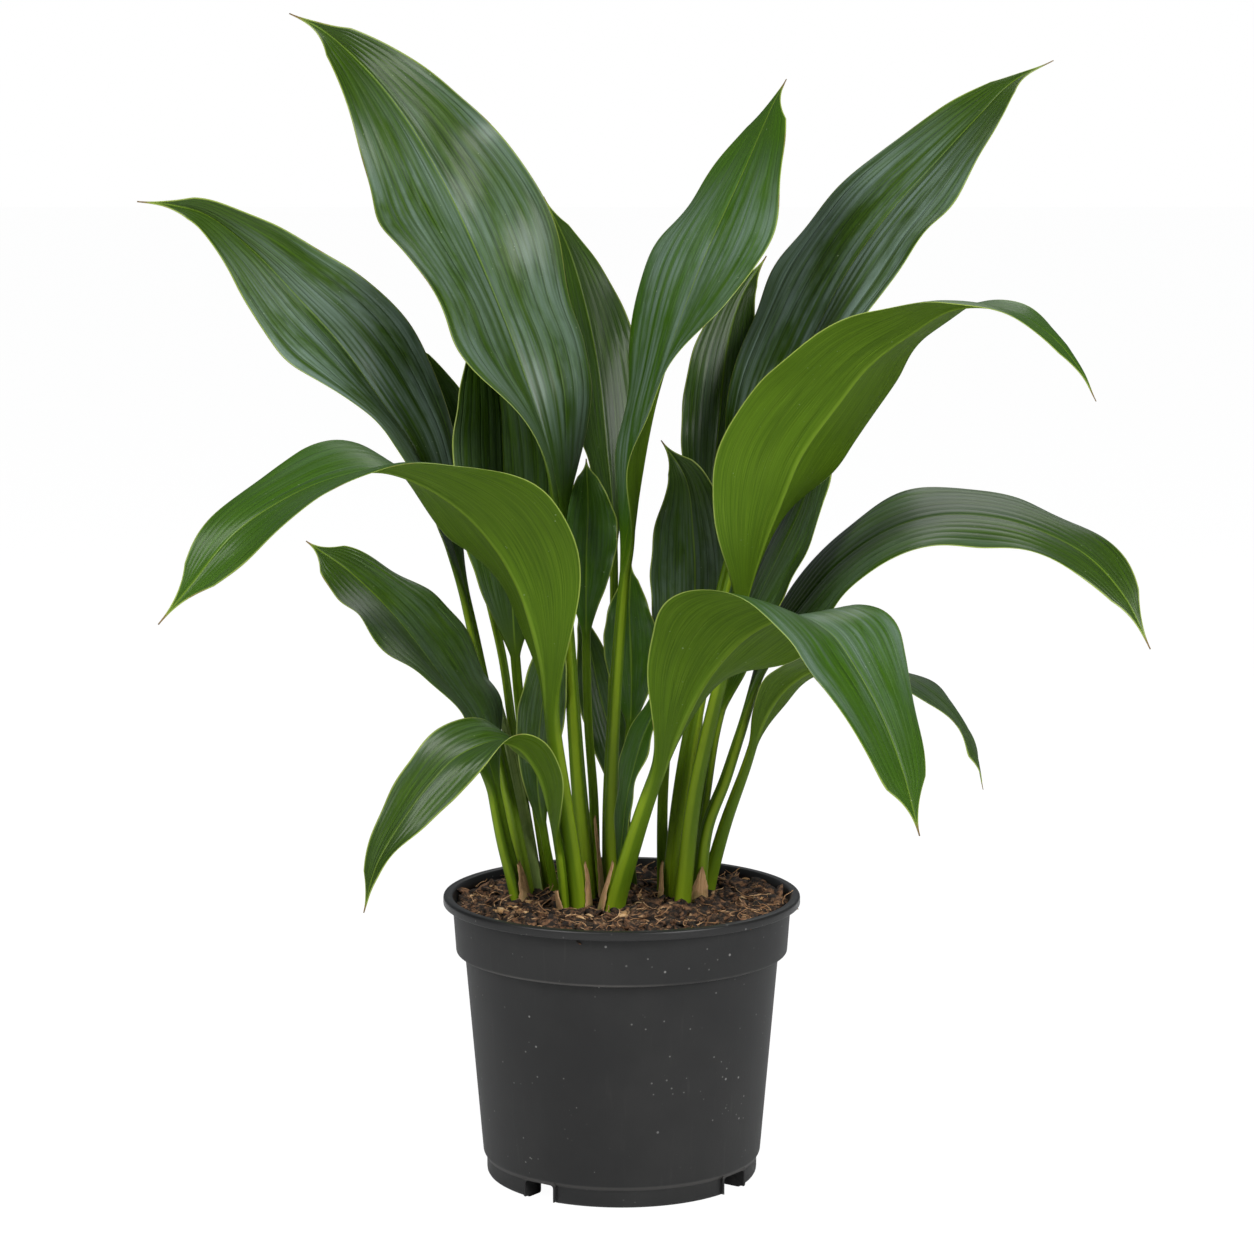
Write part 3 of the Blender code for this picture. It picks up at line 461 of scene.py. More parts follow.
SOIL_EDGE = 145.0
SOIL_MOUND = 2.0
SOIL_EDGE_RADIUS = 87.6
SOIL_TURNS = 120
BARE_EDGE = 2.5  # nothing is strewn on this much of the soil's edge
STEEPEST = 0.3  # nor where the soil's normal rises less than this
LUMP_ROUGHNESS = 0.75
LUMP_LENGTH = 1.45
FIBRE_ROWS = 12
FIBRE_SIDES = 4
FIBRE_TIP = 0.35
SOIL_DARK = (0.010, 0.0055, 0.003, 1.0)
SOIL_BROWN = (0.080, 0.040, 0.018, 1.0)
BARK_RED = (0.190, 0.092, 0.042, 1.0)
FIBRE_TAN = (0.60, 0.37, 0.19, 1.0)
FIBRE_DARK = (0.28, 0.14, 0.06, 1.0)
CHIP_CREAM = (0.66, 0.45, 0.24, 1.0)
CHIP_BROWN = (0.40, 0.22, 0.09, 1.0)


def soil_height(x, y):
    """The height of the soil's skin at a point, in metres: a low mound with lumps and hollows."""
    reach = min(1.0, math.hypot(x, y) / (SOIL_EDGE_RADIUS * MM))
    lumps = noise.noise(Vector((x, y, 0.3)) * 60) * 1.0 + noise.noise(Vector((x, y, 1.3)) * 190) * 0.7
    return (SOIL_EDGE + SOIL_MOUND * (1 - reach ** 2) + lumps) * MM


inner_foot = FOOT_RADIUS - WALL - 0.4
soil_side = [
    (SOIL_EDGE_RADIUS, SOIL_EDGE),
    (COLLAR_FOOT_RADIUS - WALL - 0.5, COLLAR_FOOT + WALL + 1.0),
    (BODY_TOP_RADIUS - WALL - 0.5, COLLAR_FOOT + WALL + 0.5),
    (BODY_FOOT_RADIUS - WALL - 0.5, base_top + 2.2),
    (inner_foot - 9, base_top + 0.6),
    (0, base_top + 0.6),
]
skin_shares = np.linspace(0, 1, 44)[:-1]
soil_skin = [(SOIL_EDGE_RADIUS * share, SOIL_EDGE) for share in skin_shares]
soil = turned("soil", soil_skin + soil_side, SOIL_TURNS)
soil_mesh = settled(soil)
for vertex in soil_mesh.vertices:
    if vertex.co.z > (SOIL_EDGE - 0.01) * MM:
        vertex.co.z = soil_height(vertex.co.x, vertex.co.y)
soil_mesh.shade_smooth()


def earth_finish(name, dark, light, third, grain):
    """A crumbly, almost matt finish whose colour wanders between three browns."""
    earth = Finish(name)
    spot = earth.place()
    patches = earth.mottle(spot, grain, 5, 0.65)
    colour = earth.mix(patches.between(0.44, 0.62), dark, light)
    colour = earth.mix(earth.mottle(spot, grain * 0.4, 3).between(0.62, 0.70) * 0.8, colour, third)
    earth.feed(earth.shader, {
        "Base Color": colour,
        "Roughness": 0.95 - patches.between(0.5, 0.8) * 0.25,
        "Normal": earth.relief(earth.mottle(spot, grain * 3.5, 4, 0.7), 0.0006),
    })
    return earth


soil_earth = earth_finish("damp_peat", SOIL_DARK, SOIL_BROWN, BARK_RED, 420)
bark = earth_finish("bark_flake", SOIL_DARK, BARK_RED, FIBRE_TAN, 240)
fibre = earth_finish("root_fibre", FIBRE_DARK, FIBRE_TAN, CHIP_CREAM, 160)
chip = earth_finish("wood_chip", CHIP_BROWN, CHIP_CREAM, FIBRE_TAN, 240)
piece("soil_bed", soil_mesh, soil_earth, "potting_soil", "potting_soil")


def lump_mesh(name, seed, flat):
    """A rough closed lump of 80 faces, in metres, that is squashed by its flat share."""
    build = bmesh.new()
    bmesh.ops.create_icosphere(build, subdivisions=2, radius=1.0)
    for vertex in build.verts:
        bump = noise.noise(vertex.co * 1.3 + Vector((seed * 7.1, seed * 3.3, seed)))
        vertex.co *= 1 + LUMP_ROUGHNESS * bump
        vertex.co.z *= flat
        vertex.co.x *= LUMP_LENGTH
    return mesh_of(build, name)


class Graph(Tree):
    """A Geometry Nodes tree with named inputs."""

    def __init__(self, name, inputs):
        super().__init__(bpy.data.node_groups.new(name, "GeometryNodeTree"))
        for key, kind in {"Geometry": "NodeSocketGeometry", **inputs}.items():
            self.tree.interface.new_socket(key, in_out="INPUT", socket_type=kind)
        self.tree.interface.new_socket("Geometry", in_out="OUTPUT", socket_type="NodeSocketGeometry")
        sockets = self.tree.nodes.new("NodeGroupInput").outputs
        self.given = {socket.name: Reading(self, socket) for socket in sockets if socket.name}
        self.result = self.tree.nodes.new("NodeGroupOutput")

    def grown_on(self, name, surface_mesh, given):
        """The plain mesh that the tree makes on this surface, with its inputs set to what is given."""
        host = placed(name, surface_mesh)
        modifier = host.modifiers.new("grow", "NODES")
        modifier.node_group = self.tree
        for item in self.tree.interface.items_tree:
            if item.in_out == "INPUT" and item.name in given:
                modifier[item.identifier] = given[item.name]
        return settled(host)


scatter = Graph("scatter_on_soil", {
    "Shape": "NodeSocketObject",
    "Density": "NodeSocketFloat",
    "Smallest": "NodeSocketFloat",
    "Largest": "NodeSocketFloat",
    "Tilt": "NodeSocketFloat",
    "Seed": "NodeSocketInt",
    "Material": "NodeSocketMaterial",
})
points = scatter.add("GeometryNodeDistributePointsOnFaces", {"distribute_method": "RANDOM"}, {
    "Mesh": scatter.given["Geometry"], "Density": scatter.given["Density"], "Seed": scatter.given["Seed"]})
shape = scatter.add("GeometryNodeObjectInfo", None, {"Object": scatter.given["Shape"]}, "Geometry")
tilt_low = scatter.add("ShaderNodeMath", {"operation": "MULTIPLY"}, {0: scatter.given["Tilt"], 1: -1.0})
low_turn = scatter.add("ShaderNodeCombineXYZ", None, {0: tilt_low, 1: tilt_low, 2: 0.0})
high_turn = scatter.add("ShaderNodeCombineXYZ", None, {
    0: scatter.given["Tilt"], 1: scatter.given["Tilt"], 2: 2 * math.pi})
turns = scatter.add("FunctionNodeRandomValue", {"data_type": "FLOAT_VECTOR"}, {
    0: low_turn, 1: high_turn, "Seed": scatter.given["Seed"]})
sizes = scatter.add("FunctionNodeRandomValue", {"data_type": "FLOAT"}, {
    2: scatter.given["Smallest"], 3: scatter.given["Largest"], "Seed": scatter.given["Seed"]}, 1)
copies = scatter.add("GeometryNodeInstanceOnPoints", None, {
    "Points": points, "Instance": shape, "Rotation": turns, "Scale": sizes})
real = scatter.add("GeometryNodeRealizeInstances", None, {0: copies})
finished = scatter.add("GeometryNodeSetMaterial", None, {
    "Geometry": real, "Material": scatter.given["Material"]})
scatter.feed(scatter.result, {0: finished})


def strewn(name, shape, finish, density, sizes, tilt, seed, rise):
    """Copies of a shape strewn over the soil, on the body root.

    density: copies on a square metre. sizes: the smallest and the largest scale of a copy.
    tilt: the most that a copy leans, in degrees. rise: how far over the soil it sits, in millimetres.
    """
    build = bmesh.new()
    build.from_mesh(soil_mesh)
    rim = (SOIL_EDGE_RADIUS - BARE_EDGE) * MM
    unwanted = [face for face in build.faces if face.normal.z < STEEPEST
                or face.calc_center_median().z < (SOIL_EDGE - 3) * MM
                or math.hypot(*face.calc_center_median()[:2]) > rim]
    bmesh.ops.delete(build, geom=unwanted, context="FACES")
    bmesh.ops.translate(build, verts=build.verts, vec=(0, 0, rise * MM))
    pattern = placed(name + "_pattern", shape)
    mesh = scatter.grown_on(name, mesh_of(build, "soil_top"), {
        "Shape": pattern, "Density": float(density), "Smallest": sizes[0], "Largest": sizes[1],
        "Tilt": math.radians(tilt), "Seed": seed, "Material": finish.material})
    bpy.data.objects.remove(pattern)
    mesh.shade_smooth()
    return piece(name, mesh, finish, "potting_soil")


def fibre_mesh(name, radius, sweep, thickness, wave, seed):
    """A curled root fibre: a thin tube with pointed ends along a bent, wandering arc."""
    count = FIBRE_ROWS
    sides = FIBRE_SIDES
    spine = []
    for index in range(count):
        angle = math.radians(sweep) * (index / (count - 1) - 0.5)
        lift = noise.noise(Vector((index * 0.55, seed * 5.2, 0.0))) * wave
        spine.append(Vector((math.sin(angle) * radius, (math.cos(angle) - 1) * radius + lift,
                             noise.noise(Vector((index * 0.5, 9.1, seed))) * wave + 0.0004)))
    build = bmesh.new()
    rings = []
    for index, middle in enumerate(spine):
        ahead = (spine[min(index + 1, count - 1)] - spine[max(index - 1, 0)]).normalized()
        side = ahead.cross(Vector((0, 0, 1))).normalized()
        rise = side.cross(ahead)
        thick = thickness * (FIBRE_TIP if index in (0, count - 1) else 1.0)
        rings.append([build.verts.new(middle + side * math.cos(a) * thick + rise * math.sin(a) * thick)
                      for a in (2 * math.pi * k / sides for k in range(sides))])
    for low, high in zip(rings, rings[1:]):
        for k in range(sides):
            build.faces.new((low[k], low[(k + 1) % sides], high[(k + 1) % sides], high[k]))
    build.faces.new(rings[0][::-1])
    build.faces.new(rings[-1])
    bmesh.ops.recalc_face_normals(build, faces=build.faces)
    return mesh_of(build, name)


long_fibre = fibre_mesh("long_fibre", radius=0.0085, sweep=130, thickness=0.00026, wave=0.0012, seed=1)
curled_fibre = fibre_mesh("curled_fibre", radius=0.0042, sweep=220, thickness=0.00022, wave=0.0009, seed=2)
strewn("soil_crumbs", lump_mesh("crumb", 1, 0.8), soil_earth,
       density=30000, sizes=(0.0008, 0.0030), tilt=60, seed=11, rise=0.0)
strewn("bark_flakes_small", lump_mesh("flake", 2, 0.30), bark,
       density=26000, sizes=(0.0011, 0.0028), tilt=45, seed=12, rise=0.5)
strewn("bark_flakes_large", lump_mesh("wide_flake", 3, 0.34), bark,
       density=10400, sizes=(0.0026, 0.0055), tilt=40, seed=13, rise=0.3)
strewn("root_fibres_long", long_fibre, fibre,
       density=4500, sizes=(0.6, 1.2), tilt=35, seed=14, rise=2.0)
strewn("root_fibres_curled", curled_fibre, fibre,
       density=5400, sizes=(0.6, 1.3), tilt=40, seed=15, rise=2.0)
strewn("wood_chips", lump_mesh("chip", 5, 0.36), chip,
       density=2600, sizes=(0.0007, 0.0026), tilt=30, seed=16, rise=1.6)

# ---------------------------------------------------------------- the rhizome
# The creeping stem under the soil that every leaf grows from: corky, tan, ringed by old leaf scars.
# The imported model's own solid is kept, since the soil hides it, with a finish of its own.

RHIZOME_PALE = (0.46, 0.34, 0.19, 1.0)
RHIZOME_BROWN = (0.17, 0.095, 0.045, 1.0)

cork = Finish("rhizome_cork")
spot = cork.place()
rings = cork.add("ShaderNodeTexWave", {"wave_type": "BANDS", "bands_direction": "X"}, {
    "Vector": spot, "Scale": 45.0, "Distortion": 2.5, "Detail": 3.0}, 1)
stains = cork.mottle(spot, 120, 5, 0.65)
cork_colour = cork.mix(stains.between(0.4, 0.7), RHIZOME_PALE, RHIZOME_BROWN)
cork.feed(cork.shader, {
    "Base Color": cork.mix((1 - rings.between(0.05, 0.3)) * 0.6, cork_colour, RHIZOME_BROWN),
    "Roughness": 0.75 + stains * 0.15,
    "Normal": cork.relief(rings * 0.5 + stains, 0.0006),
})
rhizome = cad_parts["rhizome"]
rhizome.data.materials.clear()
rhizome.data.materials.append(cork.material)

# ---------------------------------------------------------------- the leaves
# Each leaf is one growth: a stalk, grooved on its upper side, opens into a leathery blade that is
# pleated along its veins, with a keel under the midrib and a thin pale margin. Two finishes: deep
# green on older leaves, and a clearer yellow green on young ones. Both carry patches of a painted
# bluish sheen, a painted reflection of the soft boxes; the pleats' valleys are painted darker as
# painted shade, and the under side's paler green is painted brighter for light shining through it.
# Lengths here are millimetres.

GREEN_OLD = (0.034, 0.080, 0.0022, 1.0)
GREEN_OLD_DEEP = (0.010, 0.028, 0.0012, 1.0)
GREEN_YOUNG = (0.034, 0.098, 0.0006, 1.0)
GREEN_YOUNG_DEEP = (0.016, 0.050, 0.0003, 1.0)
# The under side's own paler green, painted brighter still for light shining through the leaf.
UNDER_GREEN_PLUS_LIGHT_THROUGH = (0.066, 0.130, 0.003, 1.0)
UNDER_DEEP_GREEN_PLUS_LIGHT_THROUGH = (0.038, 0.080, 0.0015, 1.0)
# The colour of a painted sheen: a painted reflection of the soft boxes on a leaf's upper side.
PAINTED_SHEEN_COLOUR = (0.122, 0.178, 0.142, 1.0)
MARGIN = (0.300, 0.380, 0.070, 1.0)
MIDRIB = (0.140, 0.230, 0.016, 1.0)
STALK_GREEN = (0.120, 0.215, 0.003, 1.0)
STALK_DEEP = (0.026, 0.056, 0.003, 1.0)
STALK_FOOT = (0.235, 0.330, 0.012, 1.0)
TIP_BROWN = (0.170, 0.110, 0.035, 1.0)
PALE_SPECK = (0.350, 0.420, 0.260, 1.0)
DARK = "dark"
BRIGHT = "bright"
PLEATS = 6.0  # on each side of the midrib
PLEAT_DEPTHS = {DARK: 0.42, BRIGHT: 0.20}
FINE_PLEAT = 0.25  # a share of the pleats' depth
SWELL = 0.32
HEM_WAVE = 1.6
MARGIN_NIP = 0.012
BLADE_CURL = -12.0  # degrees from the midrib to the margin
GROOVE_DEPTH = 0.30
GROOVE_WIDTH = 1.1
KEEL_AT_TIP = 0.35
KEEL_RISE = 1.1
KEEL_WIDTH = 1.5
STALK_TOP = 0.62  # these three are shares of half the stalk's width
STALK_GROOVE = 0.30
STALK_BELOW = 0.95
WIDE_BLADE = 60.0
POINTS_ON_WIDE = 73
POINTS_ON_NARROW = 45
STALK_ROWS = 44
BLADE_ROWS = 130
LEAF_THICKNESS = 0.66
LEAF_FOOT = 131.2
STALK_TAPER = 2.6  # a stalk loses its foot's extra width over this inverse share of the leaf


def leaf_finish(name, young):
    """The finish of one age of leaf. It reads three attributes. leaf: across (-1 to 1), along (-1 to 0
    on the stalk and 0 to 1 on the blade), and 1 on the under side. looks: the half width in metres,
    the share of painted sheen, and a number of the leaf's own. pleat: whole numbers are the pleats' valleys."""
    green = Finish(name)
    upper = GREEN_YOUNG if young else GREEN_OLD
    deep = GREEN_YOUNG_DEEP if young else GREEN_OLD_DEEP
    spot = green.place()
    across, along, under = green.parts(green.attribute("leaf"))
    half, painted_sheen_share, own = green.parts(green.attribute("looks"))
    pleat = green.attribute("pleat", "Fac")
    under = under.between(0.4, 0.6)
    side = abs(across)
    on_blade = along.between(0.0, 0.05)
    open_blade = along.between(0.06, 0.22)
    in_metres = side * half
    # Veins run with the leaf, so every grain is drawn on across and along, stretched along.
    grain_spot = green.join(across * 46 + own * 31, along * 5 + own * 7, under * 3)
    veins = green.mottle(grain_spot, 1.0, 3, 0.6)
    hair_spot = green.join(across * 260 + own * 31, along * 9 + own * 7, under * 3)
    hairs = green.mottle(hair_spot, 1.0, 2, 0.5)
    streak_spot = green.join(across * 13 + own * 17, along * 2.2 + own * 5, under * 5)
    streaks = green.mottle(streak_spot, 1.0, 3, 0.55)
    cloud_spot = green.join(across * 2.2 + own * 9, along * 4.5 + own * 3, under * 7)
    clouds = green.mottle(cloud_spot, 1.0, 4, 0.6)
    cells = green.mottle(spot, 2200, 2, 0.6)
    top_colour = green.mix(veins.between(0.30, 0.68), deep, upper)
    top_colour = green.mix(clouds.between(0.35, 0.75) * 0.40, top_colour, deep)
    # A painted sheen: bluish, streaky patches over the open blade that stand for the soft boxes' reflection,
    # fading towards the tip.
    painted_sheen = streaks.between(0.30, 0.64) * clouds.between(0.32, 0.60) * painted_sheen_share * open_blade
    painted_sheen = painted_sheen * (1 - along.between(0.60, 0.88))
    # The pleats' valleys as thin lines. They carve the bump below, and their colour is painted darker as
    # painted shade in the creases.
    valleys = (1 - pleat.zigzag().between(0.02, 0.22)) * open_blade * (1 - side.between(0.86, 0.97))
    valleys = valleys * (0.15 + streaks.between(0.35, 0.65)) * (1 - along.between(0.86, 0.96))
    top_colour = green.mix(painted_sheen * (0.55 + cells * 0.5), top_colour, PAINTED_SHEEN_COLOUR)
    # The under side: its paler green, with painted light shining through the leaf added to it.
    under_colour = green.mix(veins.between(0.30, 0.70), UNDER_DEEP_GREEN_PLUS_LIGHT_THROUGH, UNDER_GREEN_PLUS_LIGHT_THROUGH)
    under_colour = green.mix(hairs.between(0.45, 0.75) * 0.35, under_colour, MIDRIB)
    # Painted shade: the pleats' valleys darkened towards the deep green.
    top_colour = green.mix(valleys * (0.25 if young else 0.62), top_colour, deep)
    colour = green.mix(under, top_colour, under_colour)
    hairline = hairs.between(0.50, 0.72) * (0.16 + 0.12 * clouds)
    colour = green.mix(hairline * open_blade, colour, MIDRIB)
    # The midrib's pale line: thin on the upper side, the whole keel on the under side.
    line = 1 - in_metres.between(0.0002, 0.0007 + under * 0.0009)
    colour = green.mix(line * on_blade * (0.55 + under * 0.25), colour, MIDRIB)
    # The cartilage along the margin: a pale thread, a little wider and browner here and there.
    from_margin = half - in_metres
    thread = 1 - from_margin.between(0.00015, 0.00075 + clouds * 0.0005)
    colour = green.mix(thread * open_blade * 0.80, colour, MARGIN)
    pricks = green.specks(spot, 330, 0.13) * green.mottle(spot, 75, 2).between(0.55, 0.66)
    nicks = green.specks(spot, 120, 0.075) * green.mottle(spot, 30, 2).between(0.56, 0.70)
    colour = green.mix((pricks * 0.30 + nicks * 0.45) * open_blade, colour, PALE_SPECK)
    # Brown, dried tips and a few dried stretches of the margin.
    dried = along.between(0.965, 0.995) + thread * green.mottle(spot, 55, 3).between(0.60, 0.70) * 0.7
    colour = green.mix(dried.between(0.0, 1.0), colour, TIP_BROWN)
    # The stalk: deep green above, clearer and yellower towards the soil, with fine upright lines.
    low = 1 - along.between(-1.0, -0.55)
    stalk_colour = green.mix(0.25 + hairs.between(0.35, 0.65) * 0.35 - low * 0.2, STALK_GREEN, STALK_DEEP)
    stalk_colour = green.mix(low * (0.35 + veins * 0.4), stalk_colour, STALK_FOOT)
    edge_line = side.between(0.82, 0.97) * 0.5
    stalk_colour = green.mix(edge_line, stalk_colour, STALK_FOOT)
    colour = green.mix(along.between(-0.10, 0.12), stalk_colour, colour)
    relief = green.relief(veins * 0.7 + streaks * 0.9 - valleys * 1.2, 0.00016)
    relief = green.relief(hairs * 0.5 + cells * 0.35, 0.00005, relief)
    shine = 0.30 if not young else 0.36
    rough = shine + clouds * 0.16 + painted_sheen * 0.12 + under * 0.20 + cells * 0.05
    green.feed(green.shader, {
        "Base Color": colour,
        "Roughness": rough,
        "Specular IOR Level": 0.12,
        "Coat Weight": (1 - under * on_blade) * (0.3 + 0.7 * on_blade) * 0.27 * (0.4 + clouds),
        "Coat Roughness": 0.28,
        "Normal": relief,
    })
    return green


leaf_greens = {
    DARK: ("leaf_dark", leaf_finish("old_leaf_green", False)),
    BRIGHT: ("leaf_bright", leaf_finish("young_leaf_green", True)),
}


def smooth_path(points, count_per_span=24):
    """A centripetal Catmull-Rom curve through the points, as many close points."""
    knots = np.array(points, float)
    knots = np.vstack([2 * knots[0] - knots[1], knots, 2 * knots[-1] - knots[-2]])
    out = []
    for p0, p1, p2, p3 in zip(knots, knots[1:], knots[2:], knots[3:]):
        t1 = np.linalg.norm(p1 - p0) ** 0.5
        t2 = t1 + np.linalg.norm(p2 - p1) ** 0.5
        t3 = t2 + np.linalg.norm(p3 - p2) ** 0.5
        t = np.linspace(t1, t2, count_per_span, endpoint=False)[:, None]
        a1 = (t1 - t) / t1 * p0 + t / t1 * p1
        a2 = (t2 - t) / (t2 - t1) * p1 + (t - t1) / (t2 - t1) * p2
        a3 = (t3 - t) / (t3 - t2) * p2 + (t - t2) / (t3 - t2) * p3
        b1 = (t2 - t) / t2 * a1 + t / t2 * a2
        b2 = (t3 - t) / (t3 - t1) * a2 + (t - t1) / (t3 - t1) * a3
        out.append((t2 - t) / (t2 - t1) * b1 + (t - t1) / (t2 - t1) * b2)
    return np.vstack([*out, knots[-2:-1]])


def along_path(path, fractions):
    """Points and directions at the given fractions of the path's length."""
    lengths = np.concatenate([[0], np.cumsum(np.linalg.norm(np.diff(path, axis=0), axis=1))])
    wanted = np.array(fractions) * lengths[-1]
    reach = lengths[-1] * 0.012

    def spots(at_lengths):
        return np.stack([np.interp(at_lengths, lengths, path[:, k]) for k in range(3)], 1)

    direction = spots(wanted + reach) - spots(wanted - reach)
    return spots(wanted), direction / np.linalg.norm(direction, axis=1)[:, None]


def eased(values, t):
    """A value that runs smoothly through evenly spaced ones, at each t from 0 to 1."""
    if not isinstance(values, (tuple, list)):
        return np.full(len(t), float(values))
    place = np.clip(t, 0, 1) * (len(values) - 1)
    index = np.minimum(place.astype(int), len(values) - 2)
    part = place - index
    part = part * part * (3 - 2 * part)
    steps = np.array(values, float)
    return steps[index] * (1 - part) + steps[index + 1] * part


def from_soil(midrib):
    """The midrib with its buried start put in front: nearly straight down under the soil."""
    x, y, z = midrib[0]
    nx, ny, nz = midrib[1]
    slope = (z - LEAF_FOOT) / (nz - z)
    return [(x - (nx - x) * slope * 0.4, y - (ny - y) * slope * 0.4, LEAF_FOOT), *midrib]


def smooth_step(values):
    held = np.clip(values, 0, 1)
    return held * held * (3 - 2 * held)


def tube_mesh(name, grid):
    """A closed mesh through the rings of a grid (rows, points round, 3) of metres."""
    rows, count = grid.shape[:2]
    low, high = cad_box
    spots = np.clip(grid.reshape(-1, 3), np.array(low) + 1e-5, np.array(high) - 1e-5)
    first = np.arange(rows - 1)[:, None] * count
    k = np.arange(count)[None, :]
    after = (k + 1) % count
    quads = np.stack([first + k, first + after, first + after + count, first + k + count], -1).reshape(-1, 4)
    faces = quads.tolist() + [list(range(count - 1, -1, -1)), list(range((rows - 1) * count, rows * count))]
    mesh = bpy.data.meshes.new(name)
    mesh.from_pydata(spots.tolist(), [], faces)
    build = bmesh.new()
    build.from_mesh(mesh)
    bmesh.ops.recalc_face_normals(build, faces=build.faces)
    build.to_mesh(mesh)
    build.free()
    mesh.shade_smooth()
    return mesh


def leaf(node, heading, tone, blade_from, width, midrib, widest=0.45, base_taper=1.5, tip_taper=1.15,
         roll=0.0, fold_left=20.0, fold_right=20.0, stalk=(6.6, 5.0), painted_sheen=0.3):
    """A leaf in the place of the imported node: the same midrib, widths, folds and roll, with pleats,
    a wavy margin, a grooved stalk and a keel.

    heading: the way the leaf leans, in degrees from the back (+Y) towards the right (+X).
    blade_from: the share of the length where the blade starts. width: the blade's, at its widest.
    roll: turn of the upper side about the midrib, in degrees, at even steps along the blade.
    fold_left and fold_right: how far that side stands up from flat, in the same way.
    stalk: the stalk's width at its foot and under the blade.
    """
    pleat_depth = PLEAT_DEPTHS[tone]
    seed = sum(ord(letter) * (index + 3) for index, letter in enumerate(node)) % 997
    random = np.random.default_rng(seed)
    count = POINTS_ON_WIDE if width > WIDE_BLADE else POINTS_ON_NARROW
    fractions = np.concatenate([np.linspace(0, blade_from, STALK_ROWS, endpoint=False),
                                np.linspace(blade_from, 1, BLADE_ROWS)])
    points, directions = along_path(smooth_path(from_soil(midrib)), fractions)
    lean = math.radians(heading)
    across_axis = np.cross([math.sin(lean), math.cos(lean), 0.0], [0, 0, 1])
    t = (fractions - blade_from) / (1 - blade_from)
    upper = np.cross(across_axis, directions)
    upper /= np.linalg.norm(upper, axis=1)[:, None]
    side = np.cross(directions, upper)
    turn = np.radians(eased(roll, t))[:, None]
    upper, side = upper * np.cos(turn) + side * np.sin(turn), side * np.cos(turn) - upper * np.sin(turn)

    # Widths: the stalk's, and the blade's rise to its widest and fall to its tip.
    opened = smooth_step(t / 0.25)
    foot = np.clip(1 - fractions * STALK_TAPER, 0, None)
    foot_width, neck_width = stalk
    stalk_half = (neck_width + (foot_width - neck_width) * foot) / 2
    stalk_half = stalk_half * np.minimum(1.0, 1.15 - np.maximum(t, 0))
    held = np.clip(t, 0, 1)
    rise = np.sin(np.pi / 2 * np.minimum(held / widest, 1)) ** base_taper
    fall = np.sin(np.pi / 2 * np.minimum((1 - held) / (1 - widest), 1)) ** tip_taper
    half = stalk_half + (width / 2 - stalk_half) * np.where(held < widest, rise, fall)
    tip = np.clip((t - 0.9) / 0.1, 0, 1)
    half = np.maximum(half * (1 - tip) + 0.35 * tip, 0.35)

    # The section at every row: an arc each side of the midrib that opens by the fold and the curl.
    u = np.sin(np.linspace(-1, 1, count) * np.pi / 2 * 0.62) / math.sin(math.pi / 2 * 0.62)
    size = np.abs(u)[None, :]
    bent = (opened * (1 - tip))[:, None]
    fold_r = np.radians(eased(fold_right, t))[:, None] * bent
    fold_l = np.radians(eased(fold_left, t))[:, None] * bent
    fold = np.where(u[None, :] >= 0, fold_r, fold_l)
    bend = np.minimum(math.radians(BLADE_CURL) * bent, -1e-4)
    half_col = half[:, None]
    across = half_col * (np.sin(fold + bend * size) - np.sin(fold)) / bend
    up = half_col * (np.cos(fold) - np.cos(fold + bend * size)) / bend
    slant = fold + bend * size
    across = across * np.sign(u)[None, :]
    normal_across = -np.sin(slant) * np.sign(u)[None, :]
    normal_up = np.cos(slant)

    # Pleats along the veins, a slow swell across and a wavy margin, as one lift of both sides.
    shares = opened * smooth_step(half / 16) * smooth_step((1 - t) / 0.12)
    share = shares[:, None]
    rows = t[:, None]
    phase = random.uniform(0, 2 * np.pi, 12)
    drift = 0.25 * np.sin(rows * 3.1 + phase[0] + 2.0 * u) + 0.18 * np.sin(rows * 6.7 + phase[1] - 3.0 * u)
    folds = PLEATS * size ** 0.9 + drift * size
    crest = np.abs(np.sin(np.pi * folds)) ** 0.7
    fine = np.abs(np.sin(np.pi * (PLEATS * 2.7 * size + drift * 2 * size + phase[2])))
    uneven = 0.75 + 0.35 * np.sin(rows * 9 + phase[3] + 6 * u) * np.sin(rows * 4 + phase[4] - 4 * u)
    toward_margin = smooth_step((1 - size) / 0.18)
    lift = pleat_depth * (crest - 0.5) * uneven * (0.35 + 0.65 * toward_margin)
    lift = lift + FINE_PLEAT * pleat_depth * (fine - 0.5)
    swell = np.sin(rows * 7.5 + phase[5] + 2.2 * u) + 0.7 * np.sin(rows * 12.5 + phase[6] - 3.1 * u)
    lift = lift + SWELL * swell
    hem = np.sin(rows * 17 + phase[7] * np.sign(u)) + 0.6 * np.sin(rows * 31 + phase[8] * (1.3 + np.sign(u)))
    lift = lift + HEM_WAVE * hem * size ** 3.5
    lift = lift * share
    nip = 1 + MARGIN_NIP * share * size ** 4 * np.sin(rows * 43 + phase[9] + 2 * np.sign(u))
    across = across * nip

